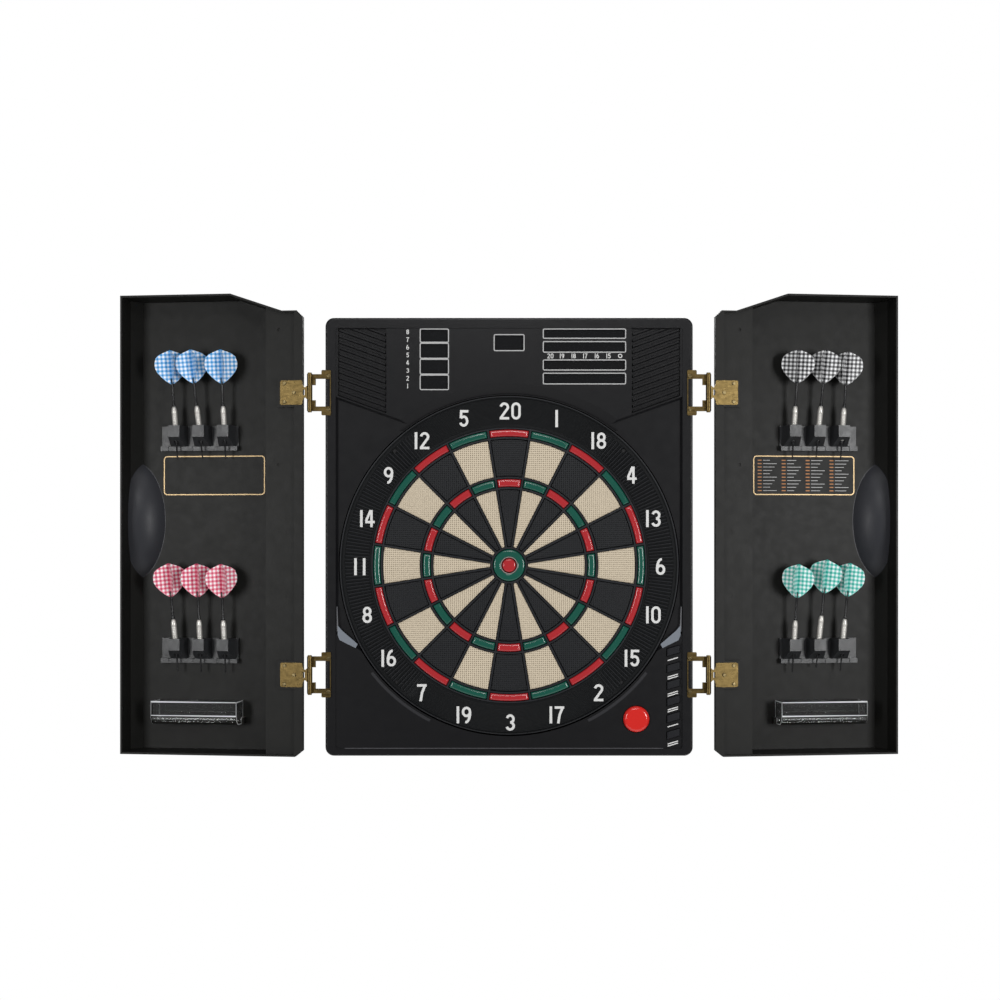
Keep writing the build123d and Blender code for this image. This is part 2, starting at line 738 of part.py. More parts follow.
with BuildPart() as left_door_shell:
    with BuildSketch(door_plane()):
        with BuildLine():
            Polyline(*door_outline(0), close=True)
        make_face()
    extrude(amount=DOOR_DEPTH)
    with BuildSketch(door_floor(DOOR_BOTTOM)):
        with BuildLine():
            Polyline(*[(u, -w) for u, w in OUTER_SECTION], close=True)
        make_face()
    extrude(amount=DOOR_HEIGHT, mode=Mode.INTERSECT)
    add(door_cavity.part, mode=Mode.SUBTRACT)
    add(grip_body(0), mode=Mode.SUBTRACT)
    # Pilot holes for the hinge-plate screws.
    with BuildSketch(door_plane()):
        for hinge_z in HINGE_Z:
            with Locations((19.7, hinge_z), (32, hinge_z - 11.7), (32, hinge_z + 11.7)):
                Circle(1.2)
    extrude(amount=6.0, mode=Mode.SUBTRACT)
    # Round dimples in the ledge: two deep ones and two shallow ejector marks.
    for dimple_u, dimple_z, radius, depth in ((41, 297.5, 2.0, 1.4), (41, 127, 2.0, 1.4), (28, 42, 4, 0.3), (28, -38, 4, 0.3)):
        with BuildSketch(door_plane(LEDGE_W)):
            with Locations((dimple_u, dimple_z)):
                Circle(radius)
        extrude(amount=depth, mode=Mode.SUBTRACT)

# ---------------------------------------------------------------- hinges
KNUCKLE_MID, KNUCKLE_END = 9.0, 23.3


def knuckle(centre_z, low, high, bore):
    """One hinge barrel about the left hinge axis."""
    with BuildPart() as barrel:
        with BuildSketch(Plane.XY.offset(centre_z + low)):
            with Locations((-HINGE_X, -HINGE_FRONT)):
                Circle(KNUCKLE_R)
                Circle(bore, mode=Mode.SUBTRACT)
        extrude(amount=high - low)
    return barrel.part


def frame_leaf(centre_z):
    """Leaf screwed to the housing's front: a frame with two feet and two end barrels."""
    with BuildPart() as leaf:
        with BuildSketch(front(HOUSING_FRONT)):
            with Locations((-HINGE_X + 13.15, centre_z)):
                Rectangle(26.3, 2 * KNUCKLE_END)
            with Locations((-HINGE_X + 20.35, centre_z)):
                RectangleRounded(11.9, 57, 1.5)
            with Locations((-HINGE_X + 16.2, centre_z)):
                Rectangle(17.8, 34.8, mode=Mode.SUBTRACT)
            with Locations((-HINGE_X + 3.6, centre_z)):
                Rectangle(7.4, 2 * KNUCKLE_MID + 1, mode=Mode.SUBTRACT)
        extrude(amount=LEAF)
        with BuildSketch(front(HOUSING_FRONT)):
            with Locations((-227.3, centre_z - 21), (-227.3, centre_z + 21)):
                Circle(1.6)
        extrude(amount=LEAF, mode=Mode.SUBTRACT)
        add(knuckle(centre_z, KNUCKLE_MID + 0.3, KNUCKLE_END, PIN_R))
        add(knuckle(centre_z, -KNUCKLE_END, -KNUCKLE_MID - 0.3, PIN_R))
    return leaf.part


def door_leaf(centre_z):
    """Leaf screwed to the door's rim: a plate, a waisted neck and the middle barrel."""
    with BuildPart() as leaf:
        with BuildSketch(door_plane(-LEAF)):
            with Locations((23.3, centre_z)):
                RectangleRounded(28.6, 30.6, 2)
            with BuildLine():
                Polyline(
                    (2.6, centre_z - KNUCKLE_MID),
                    (6.0, centre_z - 6),
                    (10.0, centre_z - 12),
                    (10.0, centre_z + 12),
                    (6.0, centre_z + 6),
                    (2.6, centre_z + KNUCKLE_MID),
                    close=True,
                )
            make_face()
            with Locations((7.2, centre_z)):
                Rectangle(2.4, 7, mode=Mode.SUBTRACT)
        extrude(amount=LEAF)
        with BuildSketch(door_plane(-LEAF)):
            with Locations((19.7, centre_z), (32, centre_z - 11.7), (32, centre_z + 11.7)):
                Circle(1.5)
        extrude(amount=LEAF, mode=Mode.SUBTRACT)
        add(knuckle(centre_z, -KNUCKLE_MID, KNUCKLE_MID, PIN_R + 0.05))
        with BuildSketch(Plane.XY.offset(centre_z - KNUCKLE_MID)):
            with Locations((-HINGE_X, -HINGE_FRONT)):
                Circle(PIN_R + 0.05)
        extrude(amount=2 * KNUCKLE_MID, mode=Mode.SUBTRACT)
    return leaf.part


def hinge_pin(centre_z):
    """Headed pin through one hinge."""
    with BuildPart() as pin:
        with BuildSketch(Plane.XY.offset(centre_z - KNUCKLE_END)):
            with Locations((-HINGE_X, -HINGE_FRONT)):
                Circle(PIN_R)
        extrude(amount=2 * KNUCKLE_END)
        for z, height in ((centre_z + KNUCKLE_END, 1.6), (centre_z - KNUCKLE_END, -1.6)):
            with BuildSketch(Plane.XY.offset(z)):
                with Locations((-HINGE_X, -HINGE_FRONT)):
                    Circle(2.6)
            extrude(amount=height)
    return pin.part


def screw(plane, height, length, radius=1.2):
    """Round-headed screw seated on a plane, driven along the plane's negative normal."""
    with BuildPart() as fastener:
        with BuildSketch(plane):
            Circle(2.3)
        extrude(amount=height)
        fillet(fastener.faces().sort_by(Axis(plane.origin, plane.z_dir))[-1].edges(), 0.6)
        with BuildSketch(plane):
            Circle(radius)
        extrude(amount=-length)
    return fastener.part


def group(pieces):
    """Several separate solids as one piece."""
    with BuildPart() as together:
        add(pieces)
    return together.part


left_frame_leaves = [frame_leaf(z) for z in HINGE_Z]
left_pins = [hinge_pin(z) for z in HINGE_Z]
leaf_front = HOUSING_FRONT + LEAF
left_frame_screws = [
    screw(Plane(origin=(-227.3, -leaf_front, z + dz), x_dir=(1, 0, 0), z_dir=(0, -1, 0)), 1.3, 7.5)
    for z in HINGE_Z
    for dz in (-21, 21)
]
for name, left_pieces in (
    ("hinge_frame_leaves", left_frame_leaves),
    ("hinge_pins", left_pins),
    ("frame_hinge_screws", left_frame_screws),
):
    save(group(left_pieces + [mirrored(piece) for piece in left_pieces]), name)

door_leaves = group([door_leaf(z) for z in HINGE_Z])
door_screws = group(
    [
        screw(Plane(origin=door_point(u, -LEAF, z + dz), x_dir=ALONG, z_dir=-INWARD), 1.3, 6.5, 1.1)
        for z in HINGE_Z
        for u, dz in ((19.7, 0), (32, -11.7), (32, 11.7))
    ]
)

# ---------------------------------------------------------------- darts and their holders
# Each dart stands a little differently in its holder: sideways lean and turn of the flight in
# degrees, and how far the tip stands above the set's level.
DART_POSES = {
    "blue": ((1.3, 27, 0.0), (5.0, 33, 1.0), (2.3, 30, 0.0)),
    "red": ((1.0, 35, 0.0), (0.8, 27, 0.5), (3.5, 31, 1.0)),
    "black": ((1.9, 22, 0.0), (3.9, 32, 0.5), (2.2, 36, -1.5)),
    "teal": ((1.9, 34, 0.0), (4.3, 30, 6.0), (3.5, 35, 1.5)),
}
HOLDER_W = (21.0, PANEL_W)
HOLDER_ABOVE_TIP = 11.5
RAIL_MID_U, RAIL_LENGTH = 156.5, 102.0
HOLDER_H = 32.0
DART_W = 30.5
BORE_ABOVE_TIP = HOLDER_ABOVE_TIP + HOLDER_H / 2


def dart_plane(u, set_z, lean_side, rise):
    """Plane at a dart's tip, its normal up the dart."""
    lean_out = radians(DART_LEAN_OUT)
    up = (ALONG * sin(radians(lean_side)) - INWARD * sin(lean_out) + Vector(0, 0, cos(lean_out))).normalized()
    tip = door_point(u, DART_W, set_z + BORE_ABOVE_TIP) - up * ((BORE_ABOVE_TIP - rise) / up.Z)
    return Plane(origin=tip, x_dir=ALONG, z_dir=up)


def turned_profile(plane, points):
    """Solid of revolution about a plane's normal from (radius, height) points."""
    upright = Plane(origin=plane.origin, x_dir=plane.x_dir, z_dir=-plane.y_dir)
    with BuildPart() as lathe:
        with BuildSketch(upright):
            with BuildLine():
                Polyline(*points, close=True)
            make_face()
        revolve(axis=Axis(plane.origin, plane.z_dir))
    return lathe.part


BARREL_LOW, BARREL_TOP, SHAFT_TOP = 26.0, 68.0, 97.0
# Edge of a vane as (radius, height above the shaft's top).
FLIGHT_EDGE = [(2, 0), (8, 4), (13, 9), (18.5, 15.5), (21, 22.5), (21, 28), (19, 34), (15, 37.5), (10, 40), (3, 42.5)]


def dart(plane, turn):
    """Soft-tip dart: tip, barrel, shaft and a crossed flight turned about the shaft."""
    tip = turned_profile(plane, [(0, 0), (0.8, 0.6), (1.1, 18), (2.2, 22), (2.2, BARREL_LOW), (0, BARREL_LOW)])
    barrel_points = [
        (0, BARREL_LOW),
        (2.4, BARREL_LOW),
        (BARREL_R, BARREL_LOW + 4),
        (BARREL_R, BARREL_TOP - 6),
        (3.0, BARREL_TOP - 2),
        (2.0, BARREL_TOP),
        (0, BARREL_TOP),
    ]
    barrel = turned_profile(plane, barrel_points)
    shaft_points = [(0, BARREL_TOP), (1.9, BARREL_TOP), (1.3, BARREL_TOP + 5), (1.6, SHAFT_TOP), (0, SHAFT_TOP)]
    shaft = turned_profile(plane, shaft_points)
    with BuildPart() as flight:
        for vane_turn in (turn, turn + 90):
            across = plane.x_dir * cos(radians(vane_turn)) + plane.y_dir * sin(radians(vane_turn))
            with BuildSketch(Plane(origin=plane.origin, x_dir=across, z_dir=across.cross(plane.z_dir))):
                with BuildLine():
                    right_edge = [(r, SHAFT_TOP + h) for r, h in FLIGHT_EDGE]
                    left_edge = [(-r, z) for r, z in reversed(right_edge)]
                    Polyline(*right_edge, (0, DART_LENGTH), *left_edge, close=True)
                make_face()
            extrude(amount=VANE / 2, both=True)
    return group([tip, barrel, shaft, flight.part])


def dart_holder(set_z, planes):
    """Rail on the door panel with three lugs, each bored for its leaning dart."""
    low = set_z + HOLDER_ABOVE_TIP
    high = low + HOLDER_H
    lug_low = high - 15
    with BuildPart() as holder:
        with BuildSketch(door_plane(PANEL_W - 3)):
            with Locations((RAIL_MID_U, low + HOLDER_H / 2)):
                Rectangle(RAIL_LENGTH, HOLDER_H)
        extrude(amount=3)
        with BuildSketch(door_plane(PANEL_W - 9)):
            with Locations((RAIL_MID_U, low + 3)):
                Rectangle(RAIL_LENGTH, 6)
        extrude(amount=7)
        for u in DART_U:
            with BuildSketch(door_floor(low + 4)):
                with BuildLine():
                    Polyline(
                        (u - 7.5, -HOLDER_W[0]),
                        (u + 7.5, -HOLDER_W[0]),
                        (u + 11.5, -HOLDER_W[1] + 1),
                        (u - 11.5, -HOLDER_W[1] + 1),
                        close=True,
                    )
                make_face()
            extrude(amount=high - low - 4)
            side = Plane(origin=door_point(u - 13, 0, 0), x_dir=-INWARD, z_dir=ALONG)
            with BuildSketch(side):
                with BuildLine():
                    Polyline(
                        (-HOLDER_W[0] + 1, lug_low),
                        (-HOLDER_W[0] + 1, low - 1),
                        (-PANEL_W + 8, low - 1),
                        (-PANEL_W + 8, low + 5.5),
                        (-HOLDER_W[0] - 0.01, lug_low),
                        close=True,
                    )
                make_face()
            extrude(amount=26, mode=Mode.SUBTRACT)
        for plane in planes:
            with BuildSketch(plane):
                Circle(2.9)
            extrude(amount=60, mode=Mode.SUBTRACT)
            with BuildSketch(plane.offset(BARREL_LOW - 0.6)):
                Circle(BARREL_R + 0.6)
            extrude(amount=40, mode=Mode.SUBTRACT)
    return holder.part


def dart_set(colour, set_z):
    """Three darts of one colour and their holder, as they stand on the left door."""
    planes = [dart_plane(u, set_z, lean, rise) for u, (lean, _, rise) in zip(DART_U, DART_POSES[colour])]
    darts = [dart(plane, turn) for plane, (_, turn, _) in zip(planes, DART_POSES[colour])]
    return darts, dart_holder(set_z, planes)


# ---------------------------------------------------------------- tip trays
TRAY_U = (100.0, 213.0)
TRAY_Z = (-205.0, -175.0)
TRAY_W = (16.5, 46.0)
TRAY_WALL = 2.2
PIVOT_W, PIVOT_Z = 41.5, -200.5
TRAY_PIN_R = 1.5


def tray_section(inset):
    """Side outline of the tray in -w and Z, with its rounded bottom corners."""
    back, face = -TRAY_W[1] + inset, -TRAY_W[0] - inset
    bottom, top = TRAY_Z[0] + inset, TRAY_Z[1] + inset * 4
    return back, face, bottom, top


def tray_block(u_low, u_high, inset):
    """Solid of the tray's side outline between two places along the door."""
    back, face, bottom, top = tray_section(inset)
    big, small = 12.0 - inset, 4.5 - inset
    with BuildPart() as block:
        with BuildSketch(Plane(origin=door_point(u_low, 0, 0), x_dir=-INWARD, z_dir=ALONG)):
            with BuildLine():
                Line((back, top), (back, bottom + small))
                RadiusArc((back, bottom + small), (back + small, bottom), -small)
                Line((back + small, bottom), (face - big, bottom))
                RadiusArc((face - big, bottom), (face, bottom + big), -big)
                Line((face, bottom + big), (face, top))
                Line((face, top), (back, top))
            make_face()
        extrude(amount=u_high - u_low)
    return block.part


with BuildPart() as left_tray:
    add(tray_block(TRAY_U[0], TRAY_U[1], 0))
    add(tray_block(TRAY_U[0] + TRAY_WALL, TRAY_U[1] - TRAY_WALL, TRAY_WALL), mode=Mode.SUBTRACT)
    pivot = Plane(origin=door_point(TRAY_U[0] - 1, PIVOT_W, PIVOT_Z), x_dir=-INWARD, z_dir=ALONG)
    for start in (1.0, TRAY_U[1] - TRAY_U[0] - 2.0):
        with BuildSketch(pivot.offset(start)):
            Circle(4.0)
        extrude(amount=3.0)
    with BuildSketch(pivot):
        Circle(TRAY_PIN_R + 0.05)
    extrude(amount=TRAY_U[1] - TRAY_U[0] + 2, mode=Mode.SUBTRACT)

# Bracket ears and pivot pins that carry the tray, moulded onto the door's panel.
with BuildPart() as tray_ears:
    for u in (TRAY_U[0] - 2.5, TRAY_U[1] + 2.5):
        with BuildSketch(door_floor(PIVOT_Z - 4)):
            with Locations((u, -(PIVOT_W - 4 + PANEL_W + 0.5) / 2)):
                Rectangle(3, PANEL_W + 0.5 - PIVOT_W + 4)
        extrude(amount=8)
    for u in (TRAY_U[0] - 2.5, TRAY_U[1] - 2.8):
        with BuildSketch(Plane(origin=door_point(u, PIVOT_W, PIVOT_Z), x_dir=-INWARD, z_dir=ALONG)):
            Circle(TRAY_PIN_R)
        extrude(amount=5.3)
with BuildPart() as door_with_ears:
    add(left_door_shell.part)
    add(tray_ears.part)

# ---------------------------------------------------------------- both doors, left and right
for name, left_piece in (
    ("door_shell", door_with_ears.part),
    ("hinge_leaves", door_leaves),
    ("door_screws", door_screws),
    ("tray", left_tray.part),
):
    save(left_piece, f"left_{name}")
    save(mirrored(left_piece), f"right_{name}")

for side, colours in (("left", ("blue", "red")), ("right", ("black", "teal"))):
    holders = []
    for colour, set_z in zip(colours, DART_SETS_Z):
        darts, holder = dart_set(colour, set_z)
        holders.append(holder)
        for number, piece in enumerate(darts, start=1):
            save(mirrored(piece) if side == "right" else piece, f"dart_{colour}_{number}")
    both_holders = group(holders)
    save(mirrored(both_holders) if side == "right" else both_holders, f"{side}_dart_holders")
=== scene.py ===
"""Electronic dartboard in a two-door wall cabinet: looks, finer pieces, light and camera.

Lengths named in capitals are in millimetres, unless their comment says otherwise. The origin is on the wall
behind the bull's eye. X runs to the player's right, Y into the wall and Z up.
"""

import math

import bmesh
import bpy
from mathutils import Matrix, Vector


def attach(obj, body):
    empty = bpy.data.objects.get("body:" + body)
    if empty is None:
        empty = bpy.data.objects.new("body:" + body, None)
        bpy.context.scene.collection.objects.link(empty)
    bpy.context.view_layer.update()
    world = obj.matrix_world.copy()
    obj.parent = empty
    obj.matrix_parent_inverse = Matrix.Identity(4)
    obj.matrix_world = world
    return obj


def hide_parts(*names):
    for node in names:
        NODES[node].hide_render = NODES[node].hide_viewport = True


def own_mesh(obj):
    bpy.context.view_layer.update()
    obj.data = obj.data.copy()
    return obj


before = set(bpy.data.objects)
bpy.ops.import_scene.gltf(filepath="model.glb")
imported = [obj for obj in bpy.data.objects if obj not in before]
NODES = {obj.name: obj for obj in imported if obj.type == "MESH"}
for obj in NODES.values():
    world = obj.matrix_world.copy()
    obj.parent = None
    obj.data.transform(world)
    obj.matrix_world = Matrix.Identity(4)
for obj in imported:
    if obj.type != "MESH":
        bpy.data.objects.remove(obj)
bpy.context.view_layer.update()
MM = 0.001


# ---------------------------------------------------------------- materials
# Share of a moulding's surface that its handling marks lighten.
WEAR = 0.12
# Bulge of a door's finger recess, in metres: its centre, its half depth and its half height.
BULGE_X, BULGE_Y, BULGE_Z, BULGE_R, BULGE_HALF_H = 0.4877, 0.0172, 0.057, 0.0489, 0.0869
# Rows of pinholes in the segments.
PINHOLE_PITCH, PINHOLE_R = 2.5, 0.62
# Number ring, in metres: the ribbed band, the fine circles, their soft borders and the light line at its edge
# (where it starts to show and where it is full).
RIB_BAND, RIBS_PER_TURN = (0.1765, 0.2065), 290
CIRCLES_FROM, CIRCLE_PITCH = 0.177, 0.0016
FADE, EDGE_LINE = 0.001, (0.2122, 0.2130)
CHECK_PITCH = 5.2


def rgba(colour):
    """A colour with its alpha."""
    return (*colour, 1.0) if len(colour) == 3 else tuple(colour)


def principled(name, colour, roughness, **values):
    """New material on one Principled shader, with uniform values on its own sockets."""
    material = bpy.data.materials.new(name)
    material.use_nodes = True
    shader = material.node_tree.nodes["Principled BSDF"]
    shader.inputs["Base Color"].default_value = rgba(colour)
    shader.inputs["Roughness"].default_value = roughness
    for socket, value in values.items():
        shader.inputs[socket.replace("_", " ")].default_value = value
    return material


class Graph:
    """Short way to add nodes to one material."""

    def __init__(self, material):
        self.tree = material.node_tree
        self.shader = self.tree.nodes["Principled BSDF"]
        self.place = self.tree.nodes.new("ShaderNodeTexCoord").outputs["Object"]
        self.bump_out = None

    def feed(self, socket, value):
        """Links an output to a socket, or sets the socket to a number or colour."""
        if hasattr(value, "links"):
            self.tree.links.new(value, socket)
        else:
            socket.default_value = value

    def math(self, operation, *values):
        """Result of one math operation."""
        node = self.tree.nodes.new("ShaderNodeMath")
        node.operation = operation
        for socket, value in zip(node.inputs, values):
            self.feed(socket, value)
        return node.outputs[0]

    def length(self, *offsets):
        """Square root of the sum of squares."""
        total, *others = [self.math("MULTIPLY", offset, offset) for offset in offsets]
        for square in others:
            total = self.math("ADD", total, square)
        return self.math("SQRT", total)

    def split(self, vector):
        """The X, Y and Z of a vector."""
        node = self.tree.nodes.new("ShaderNodeSeparateXYZ")
        self.feed(node.inputs[0], vector)
        return node.outputs

    def noise(self, scale, detail, stretch=(1, 1, 1)):
        """Noise from 0 to 1 in the object's own coordinates."""
        place = self.tree.nodes.new("ShaderNodeMapping")
        self.feed(place.inputs["Vector"], self.place)
        place.inputs["Scale"].default_value = stretch
        node = self.tree.nodes.new("ShaderNodeTexNoise")
        node.inputs["Scale"].default_value = scale
        node.inputs["Detail"].default_value = detail
        self.feed(node.inputs["Vector"], place.outputs[0])
        return node.outputs["Fac"]

    def spread(self, value, low, high, from_low=0.0, from_high=1.0):
        """Maps one range of values to another and clamps at its ends."""
        node = self.tree.nodes.new("ShaderNodeMapRange")
        self.feed(node.inputs["Value"], value)
        limits = {"From Min": from_low, "From Max": from_high, "To Min": low, "To Max": high}
        for socket, number in limits.items():
            node.inputs[socket].default_value = number
        return node.outputs[0]

    def scuffs(self):
        """Sparse upright handling marks."""
        return self.spread(self.noise(260, 6, (1, 1, 0.3)), 0, WEAR, 0.62, 0.72)

    def mix(self, amount, first, second):
        """Colour between two colours."""
        node = self.tree.nodes.new("ShaderNodeMix")
        node.data_type = "RGBA"
        self.feed(node.inputs[0], amount)
        self.feed(node.inputs[6], rgba(first) if isinstance(first, tuple) else first)
        self.feed(node.inputs[7], rgba(second) if isinstance(second, tuple) else second)
        return node.outputs[2]

    def colour(self, value):
        """Sets the base colour."""
        self.feed(self.shader.inputs["Base Color"], value)

    def roughness(self, value):
        """Sets the roughness."""
        self.feed(self.shader.inputs["Roughness"], value)

    def bump(self, height, depth):
        """Adds a height field, depth in metres, on top of the ones already there."""
        node = self.tree.nodes.new("ShaderNodeBump")
        node.inputs["Strength"].default_value = 1.0
        node.inputs["Distance"].default_value = depth
        self.feed(node.inputs["Height"], height)
        if self.bump_out is not None:
            self.feed(node.inputs["Normal"], self.bump_out)
        self.bump_out = node.outputs[0]
        self.feed(self.shader.inputs["Normal"], self.bump_out)


def moulded(name, colour, low, high, grain=2600, depth=0.00006, shine=0.35):
    """Moulded plastic: fine grain, slightly uneven sheen and faint handling marks."""
    material = principled(name, colour, (low + high) / 2, Specular_IOR_Level=shine)
    g = Graph(material)
    g.roughness(g.spread(g.noise(90, 5), low, high, 0.3, 0.7))
    g.bump(g.noise(grain, 2), depth)
    lighter = tuple(min(1.0, c * (1 + 3 * WEAR) + 0.003) for c in colour)
    g.colour(g.mix(g.scuffs(), colour, lighter))
    return material


def door_moulding(name, colour):
    """Door plastic, matt on its panel and polished on the bulge of the finger recess, where it is also painted
    lighter as a painted sheen.
    """
    material = principled(name, colour, 0.46, Specular_IOR_Level=0.2)
    g = Graph(material)
    x, y, z = g.split(g.place)
    outward = g.math("SUBTRACT", g.math("ABSOLUTE", x), BULGE_X)
    backward = g.math("SUBTRACT", y, BULGE_Y)
    upward = g.math("MULTIPLY", g.math("SUBTRACT", z, BULGE_Z), BULGE_R / BULGE_HALF_H)
    bulge = g.spread(g.length(outward, backward, upward), 1, 0, BULGE_R, BULGE_R + 0.0003)
    matt = g.spread(g.noise(90, 5), 0.44, 0.5, 0.3, 0.7)
    g.roughness(g.math("SUBTRACT", matt, g.math("MULTIPLY", bulge, 0.1)))
    g.bump(g.noise(1500, 2), 0.00006)
    worn = g.mix(g.scuffs(), colour, tuple(c * 1.4 + 0.003 for c in colour))
    # Painted sheen: the bulge's colour is lighter than the panel's, standing in for the light it catches.
    g.colour(g.mix(bulge, worn, (0.030, 0.031, 0.036)))
    return material


def plated(name, colour, roughness, brush=(40, 900, 900), metallic=1.0, tarnish=0.6):
    """Plated or brushed metal with fine lines and light tarnish."""
    material = principled(name, colour, roughness, Metallic=metallic)
    g = Graph(material)
    lines = g.noise(1, 4, brush)
    g.roughness(g.spread(lines, roughness * 0.7, roughness * 1.4, 0.3, 0.7))
    g.bump(lines, 0.00003)
    dark = tuple(c * 0.45 for c in colour)
    g.colour(g.mix(g.spread(g.noise(160, 6), 0, tarnish, 0.42, 0.7), colour, dark))
    return material


def pinholed(name, colour, hole_shade):
    """Segment face with rows of fine holes, on the X and Z grid, each hole painted darker as painted shade."""
    pitch, radius = PINHOLE_PITCH * MM, PINHOLE_R * MM
    material = principled(name, colour, 0.5, Specular_IOR_Level=0.3)
    g = Graph(material)
    x, _, z = g.split(g.place)
    offsets = [g.math("SUBTRACT", g.math("FLOORED_MODULO", axis, pitch), pitch / 2) for axis in (x, z)]
    inside = g.spread(g.length(*offsets), 1.0, 0.0, radius * 0.55, radius * 1.15)
    clouded = g.mix(g.spread(g.noise(60, 4), 0, 0.25), colour, tuple(c * 0.82 for c in colour))
    # Painted shade: the holes take a darker colour for the shade inside them.
    g.colour(g.mix(inside, clouded, hole_shade))
    g.bump(inside, -0.0008)
    g.bump(g.noise(3000, 2), 0.00004)
    g.roughness(g.spread(g.noise(30, 3), 0.42, 0.58))
    return material


def ring_face(name, colour):
    """Number ring: fine radial ribs at its sides with their crests painted lighter as a painted highlight, fine
    circles above and below, a light line at its edge.
    """
    material = principled(name, colour, 0.42, Specular_IOR_Level=0.16)
    g = Graph(material)
    x, _, z = g.split(g.place)
    radius = g.length(x, z)
    angle = g.math("ARCTAN2", z, x)
    sideways = g.math("DIVIDE", g.math("ABSOLUTE", x), radius)
    at_side = g.spread(sideways, 0.0, 1.0, 0.58, 0.68)
    past_inner = g.spread(radius, 0, 1, RIB_BAND[0], RIB_BAND[0] + FADE)
    short_of_outer = g.spread(radius, 1, 0, RIB_BAND[1], RIB_BAND[1] + FADE)
    ribs = g.math("SINE", g.math("MULTIPLY", angle, RIBS_PER_TURN))
    rib_share = g.math("MULTIPLY", at_side, g.math("MULTIPLY", past_inner, short_of_outer))
    circles = g.math("SINE", g.math("MULTIPLY", radius, 2 * math.pi / CIRCLE_PITCH))
    outside = g.spread(radius, 0, 1, CIRCLES_FROM, CIRCLES_FROM + FADE)
    circle_share = g.math("MULTIPLY", g.math("SUBTRACT", 1.0, at_side), outside)
    g.bump(g.math("MULTIPLY", ribs, rib_share), 0.0012)
    g.bump(g.math("MULTIPLY", circles, circle_share), 0.00022)
    g.bump(g.noise(2400, 2), 0.00006)
    # Painted highlight: the ribs' crests are coloured lighter, as if lit.
    crest_highlight = g.math("MULTIPLY", g.spread(ribs, 0, 0.7, -0.6, 1), rib_share)
    ribbed = g.mix(crest_highlight, colour, (0.024, 0.025, 0.028))
    g.colour(g.mix(g.spread(radius, 0, 1, *EDGE_LINE), ribbed, (0.045, 0.046, 0.050)))
    g.roughness(g.spread(g.noise(18, 4), 0.34, 0.5))
    return material


def glossy(name, colour):
    """Shiny coloured plastic with a faint flow in the moulding."""
    roughness = 0.16
    material = principled(name, colour, roughness, Coat_Weight=0.35, Coat_Roughness=0.06)
    g = Graph(material)
    g.roughness(g.spread(g.noise(25, 4), roughness * 0.8, roughness * 1.5))
    g.colour(g.mix(g.spread(g.noise(45, 3), 0, 0.3), colour, tuple(c * 0.8 for c in colour)))
    g.bump(g.noise(160, 3), 0.00008)
    return material


def gingham(name, colour):
    """Woven check: crossing half-tone bands give a dark, two middle and a white square."""
    material = principled(name, colour, 0.4)
    g = Graph(material)
    x, y, _ = g.split(g.tree.nodes.new("ShaderNodeUVMap").outputs[0])
    pitch = CHECK_PITCH * MM
    bands = [g.math("LESS_THAN", g.math("FLOORED_MODULO", axis, pitch), pitch * 0.5) for axis in (x, y)]
    amount = g.math("MULTIPLY", g.math("ADD", *bands), 0.5)
    dark = tuple(c * 0.75 for c in colour)
    half = tuple(0.24 + 0.76 * c for c in colour)
    light = g.mix(g.math("GREATER_THAN", amount, 0.25), (0.86, 0.87, 0.88), half)
    g.colour(g.mix(g.math("GREATER_THAN", amount, 0.75), light, dark))
    g.bump(g.noise(1500, 2), 0.00003)
    return material


def hardboard_brown():
    """Pressed board with short brown fibres."""
    material = principled("hardboard_brown", (0.24, 0.15, 0.085), 0.75)
    g = Graph(material)
    g.colour(g.mix(g.noise(500, 6), (0.2, 0.12, 0.065), (0.3, 0.2, 0.12)))
    g.bump(g.noise(900, 5), 0.0002)
    return material


HOUSING = moulded("housing_satin_black", (0.0065, 0.0065, 0.0075), 0.29, 0.33, 1800, 0.00003, shine=0.3)
REAR = moulded("rear_matte_black", (0.016, 0.016, 0.018), 0.45, 0.6)
RING = ring_face("ring_black", (0.0042, 0.0048, 0.0055))
WEB = moulded("web_dark_grey", (0.016, 0.017, 0.020), 0.25, 0.36)
DOOR = door_moulding("door_dark_grey", (0.0088, 0.0088, 0.0079))
HOLDER = moulded("holder_dark_grey", (0.0250, 0.0260, 0.0280), 0.28, 0.38, shine=0.4)
RED = glossy("segment_red", (0.42, 0.020, 0.026))
GREEN = glossy("segment_green", (0.005, 0.085, 0.058))
# The last colour of a segment is the painted shade in its pinholes.
BLACK = pinholed("segment_black", (0.0095, 0.0105, 0.0125), (0.003, 0.003, 0.004))
CREAM = pinholed("segment_cream", (0.62, 0.53, 0.40), (0.30, 0.235, 0.15))
BUTTON = glossy("button_red", (0.66, 0.018, 0.013))
KEY = moulded("key_rubber", (0.009, 0.0095, 0.012), 0.45, 0.6, shine=0.2)
BRASS = plated("hinge_brass", (0.150, 0.105, 0.040), 0.36)
STEEL = plated("plated_steel", (0.20, 0.155, 0.075), 0.34)
DARK_SCREW = plated("blackened_screw", (0.012, 0.012, 0.013), 0.45, metallic=0.3)
NICKEL = plated(
    "barrel_nickel", (0.66, 0.64, 0.60), 0.34, brush=(900, 900, 60), metallic=0.5, tarnish=0.15
)
ACRYLIC = principled("clear_acrylic", (0.97, 0.98, 0.98), 0.03, Transmission_Weight=1.0, IOR=1.49)
LENS = principled(
    "smoked_lens", (0.05, 0.052, 0.058), 0.05, Transmission_Weight=0.85, IOR=1.45, Specular_IOR_Level=0.3
)
PAD = moulded("pad_rubber", (0.02, 0.02, 0.02), 0.6, 0.8)
FILM = principled("contact_film", (0.40, 0.42, 0.36), 0.45)
BOARD = moulded("circuit_green", (0.010, 0.085, 0.030), 0.35, 0.5)
MODULE = moulded("display_glass", (0.018, 0.020, 0.022), 0.12, 0.2)
HARDBOARD = hardboard_brown()
